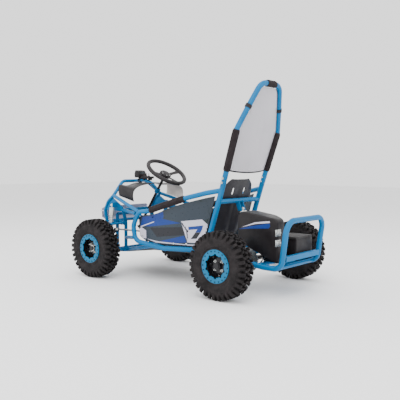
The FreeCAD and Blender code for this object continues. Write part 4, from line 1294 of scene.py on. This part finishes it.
for side in ("left", "right"):
    coil_spring(f"shock_spring_{side}",
                f"shock_slide_{side}", 0.0020, 11)
coil_spring("rear_shock_spring", "rear_shock_slide", 0.0030, 7)


# ---------------------------------------------------------------- floor, light and camera

def pale_floor():
    """A pale floor with a faint mottle."""
    bm = bmesh.new()
    reach = 14.0
    cells = 24
    places = [reach * (2 * k / cells - 1) for k in range(cells + 1)]
    rows = [[bm.verts.new((x, y, 0)) for y in places] for x in places]
    for a, b in zip(rows, rows[1:]):
        for k in range(cells):
            bm.faces.new((a[k], b[k], b[k + 1], a[k + 1]))
    mesh = bpy.data.meshes.new("studio_floor")
    bm.to_mesh(mesh)
    bm.free()
    floor = bpy.data.objects.new("studio_floor", mesh)
    bpy.context.scene.collection.objects.link(floor)
    shader = Shader("floor_white")
    shader.colour(shader.noise(90, 3, 0.5), 0.3, 0.7, (0.86, 0.86, 0.865), (0.90, 0.90, 0.90))
    shader.set(Roughness=0.7)
    mesh.materials.append(shader.material)


def area_light(name, place, target, size, power):
    """A rectangular lamp aimed at a place."""
    data = bpy.data.lights.new(name, "AREA")
    data.shape = "RECTANGLE"
    data.size, data.size_y = size
    data.energy = power
    light = bpy.data.objects.new(name, data)
    light.location = place
    light.rotation_euler = (Vector(target) - Vector(place)).to_track_quat("-Z", "Y").to_euler()
    bpy.context.scene.collection.objects.link(light)


def camera():
    """The view of the whole kart from behind its left side."""
    data = bpy.data.cameras.new("camera")
    data.lens = 52.0
    data.sensor_width = 36.0
    data.clip_end = 60
    eye = bpy.data.objects.new("camera", data)
    eye.location = (-2.0473, 2.5063, 0.6419)
    eye.rotation_euler = (math.radians(90 - 3.52), math.radians(-0.25), math.radians(-50.46 - 90))
    bpy.context.scene.collection.objects.link(eye)
    bpy.context.scene.camera = eye


pale_floor()
area_light("key", (-1.6, 2.6, 3.2), (0, 0, 0.3), (2.6, 2.6), 95)
area_light("top", (0.3, 0.2, 3.6), (0, 0, 0.2), (4.5, 3.5), 75)
area_light("fill", (-3.2, -1.4, 1.8), (0, 0, 0.4), (2.4, 2.4), 35)
area_light("front", (2.8, 2.2, 1.8), (0.2, 0, 0.4), (2.4, 2.0), 30)
world = bpy.data.worlds.new("studio")
world.use_nodes = True
world.node_tree.nodes["Background"].inputs["Color"].default_value = (1.0, 1.0, 1.0, 1)
world.node_tree.nodes["Background"].inputs["Strength"].default_value = 1.7
bpy.context.scene.world = world
camera()
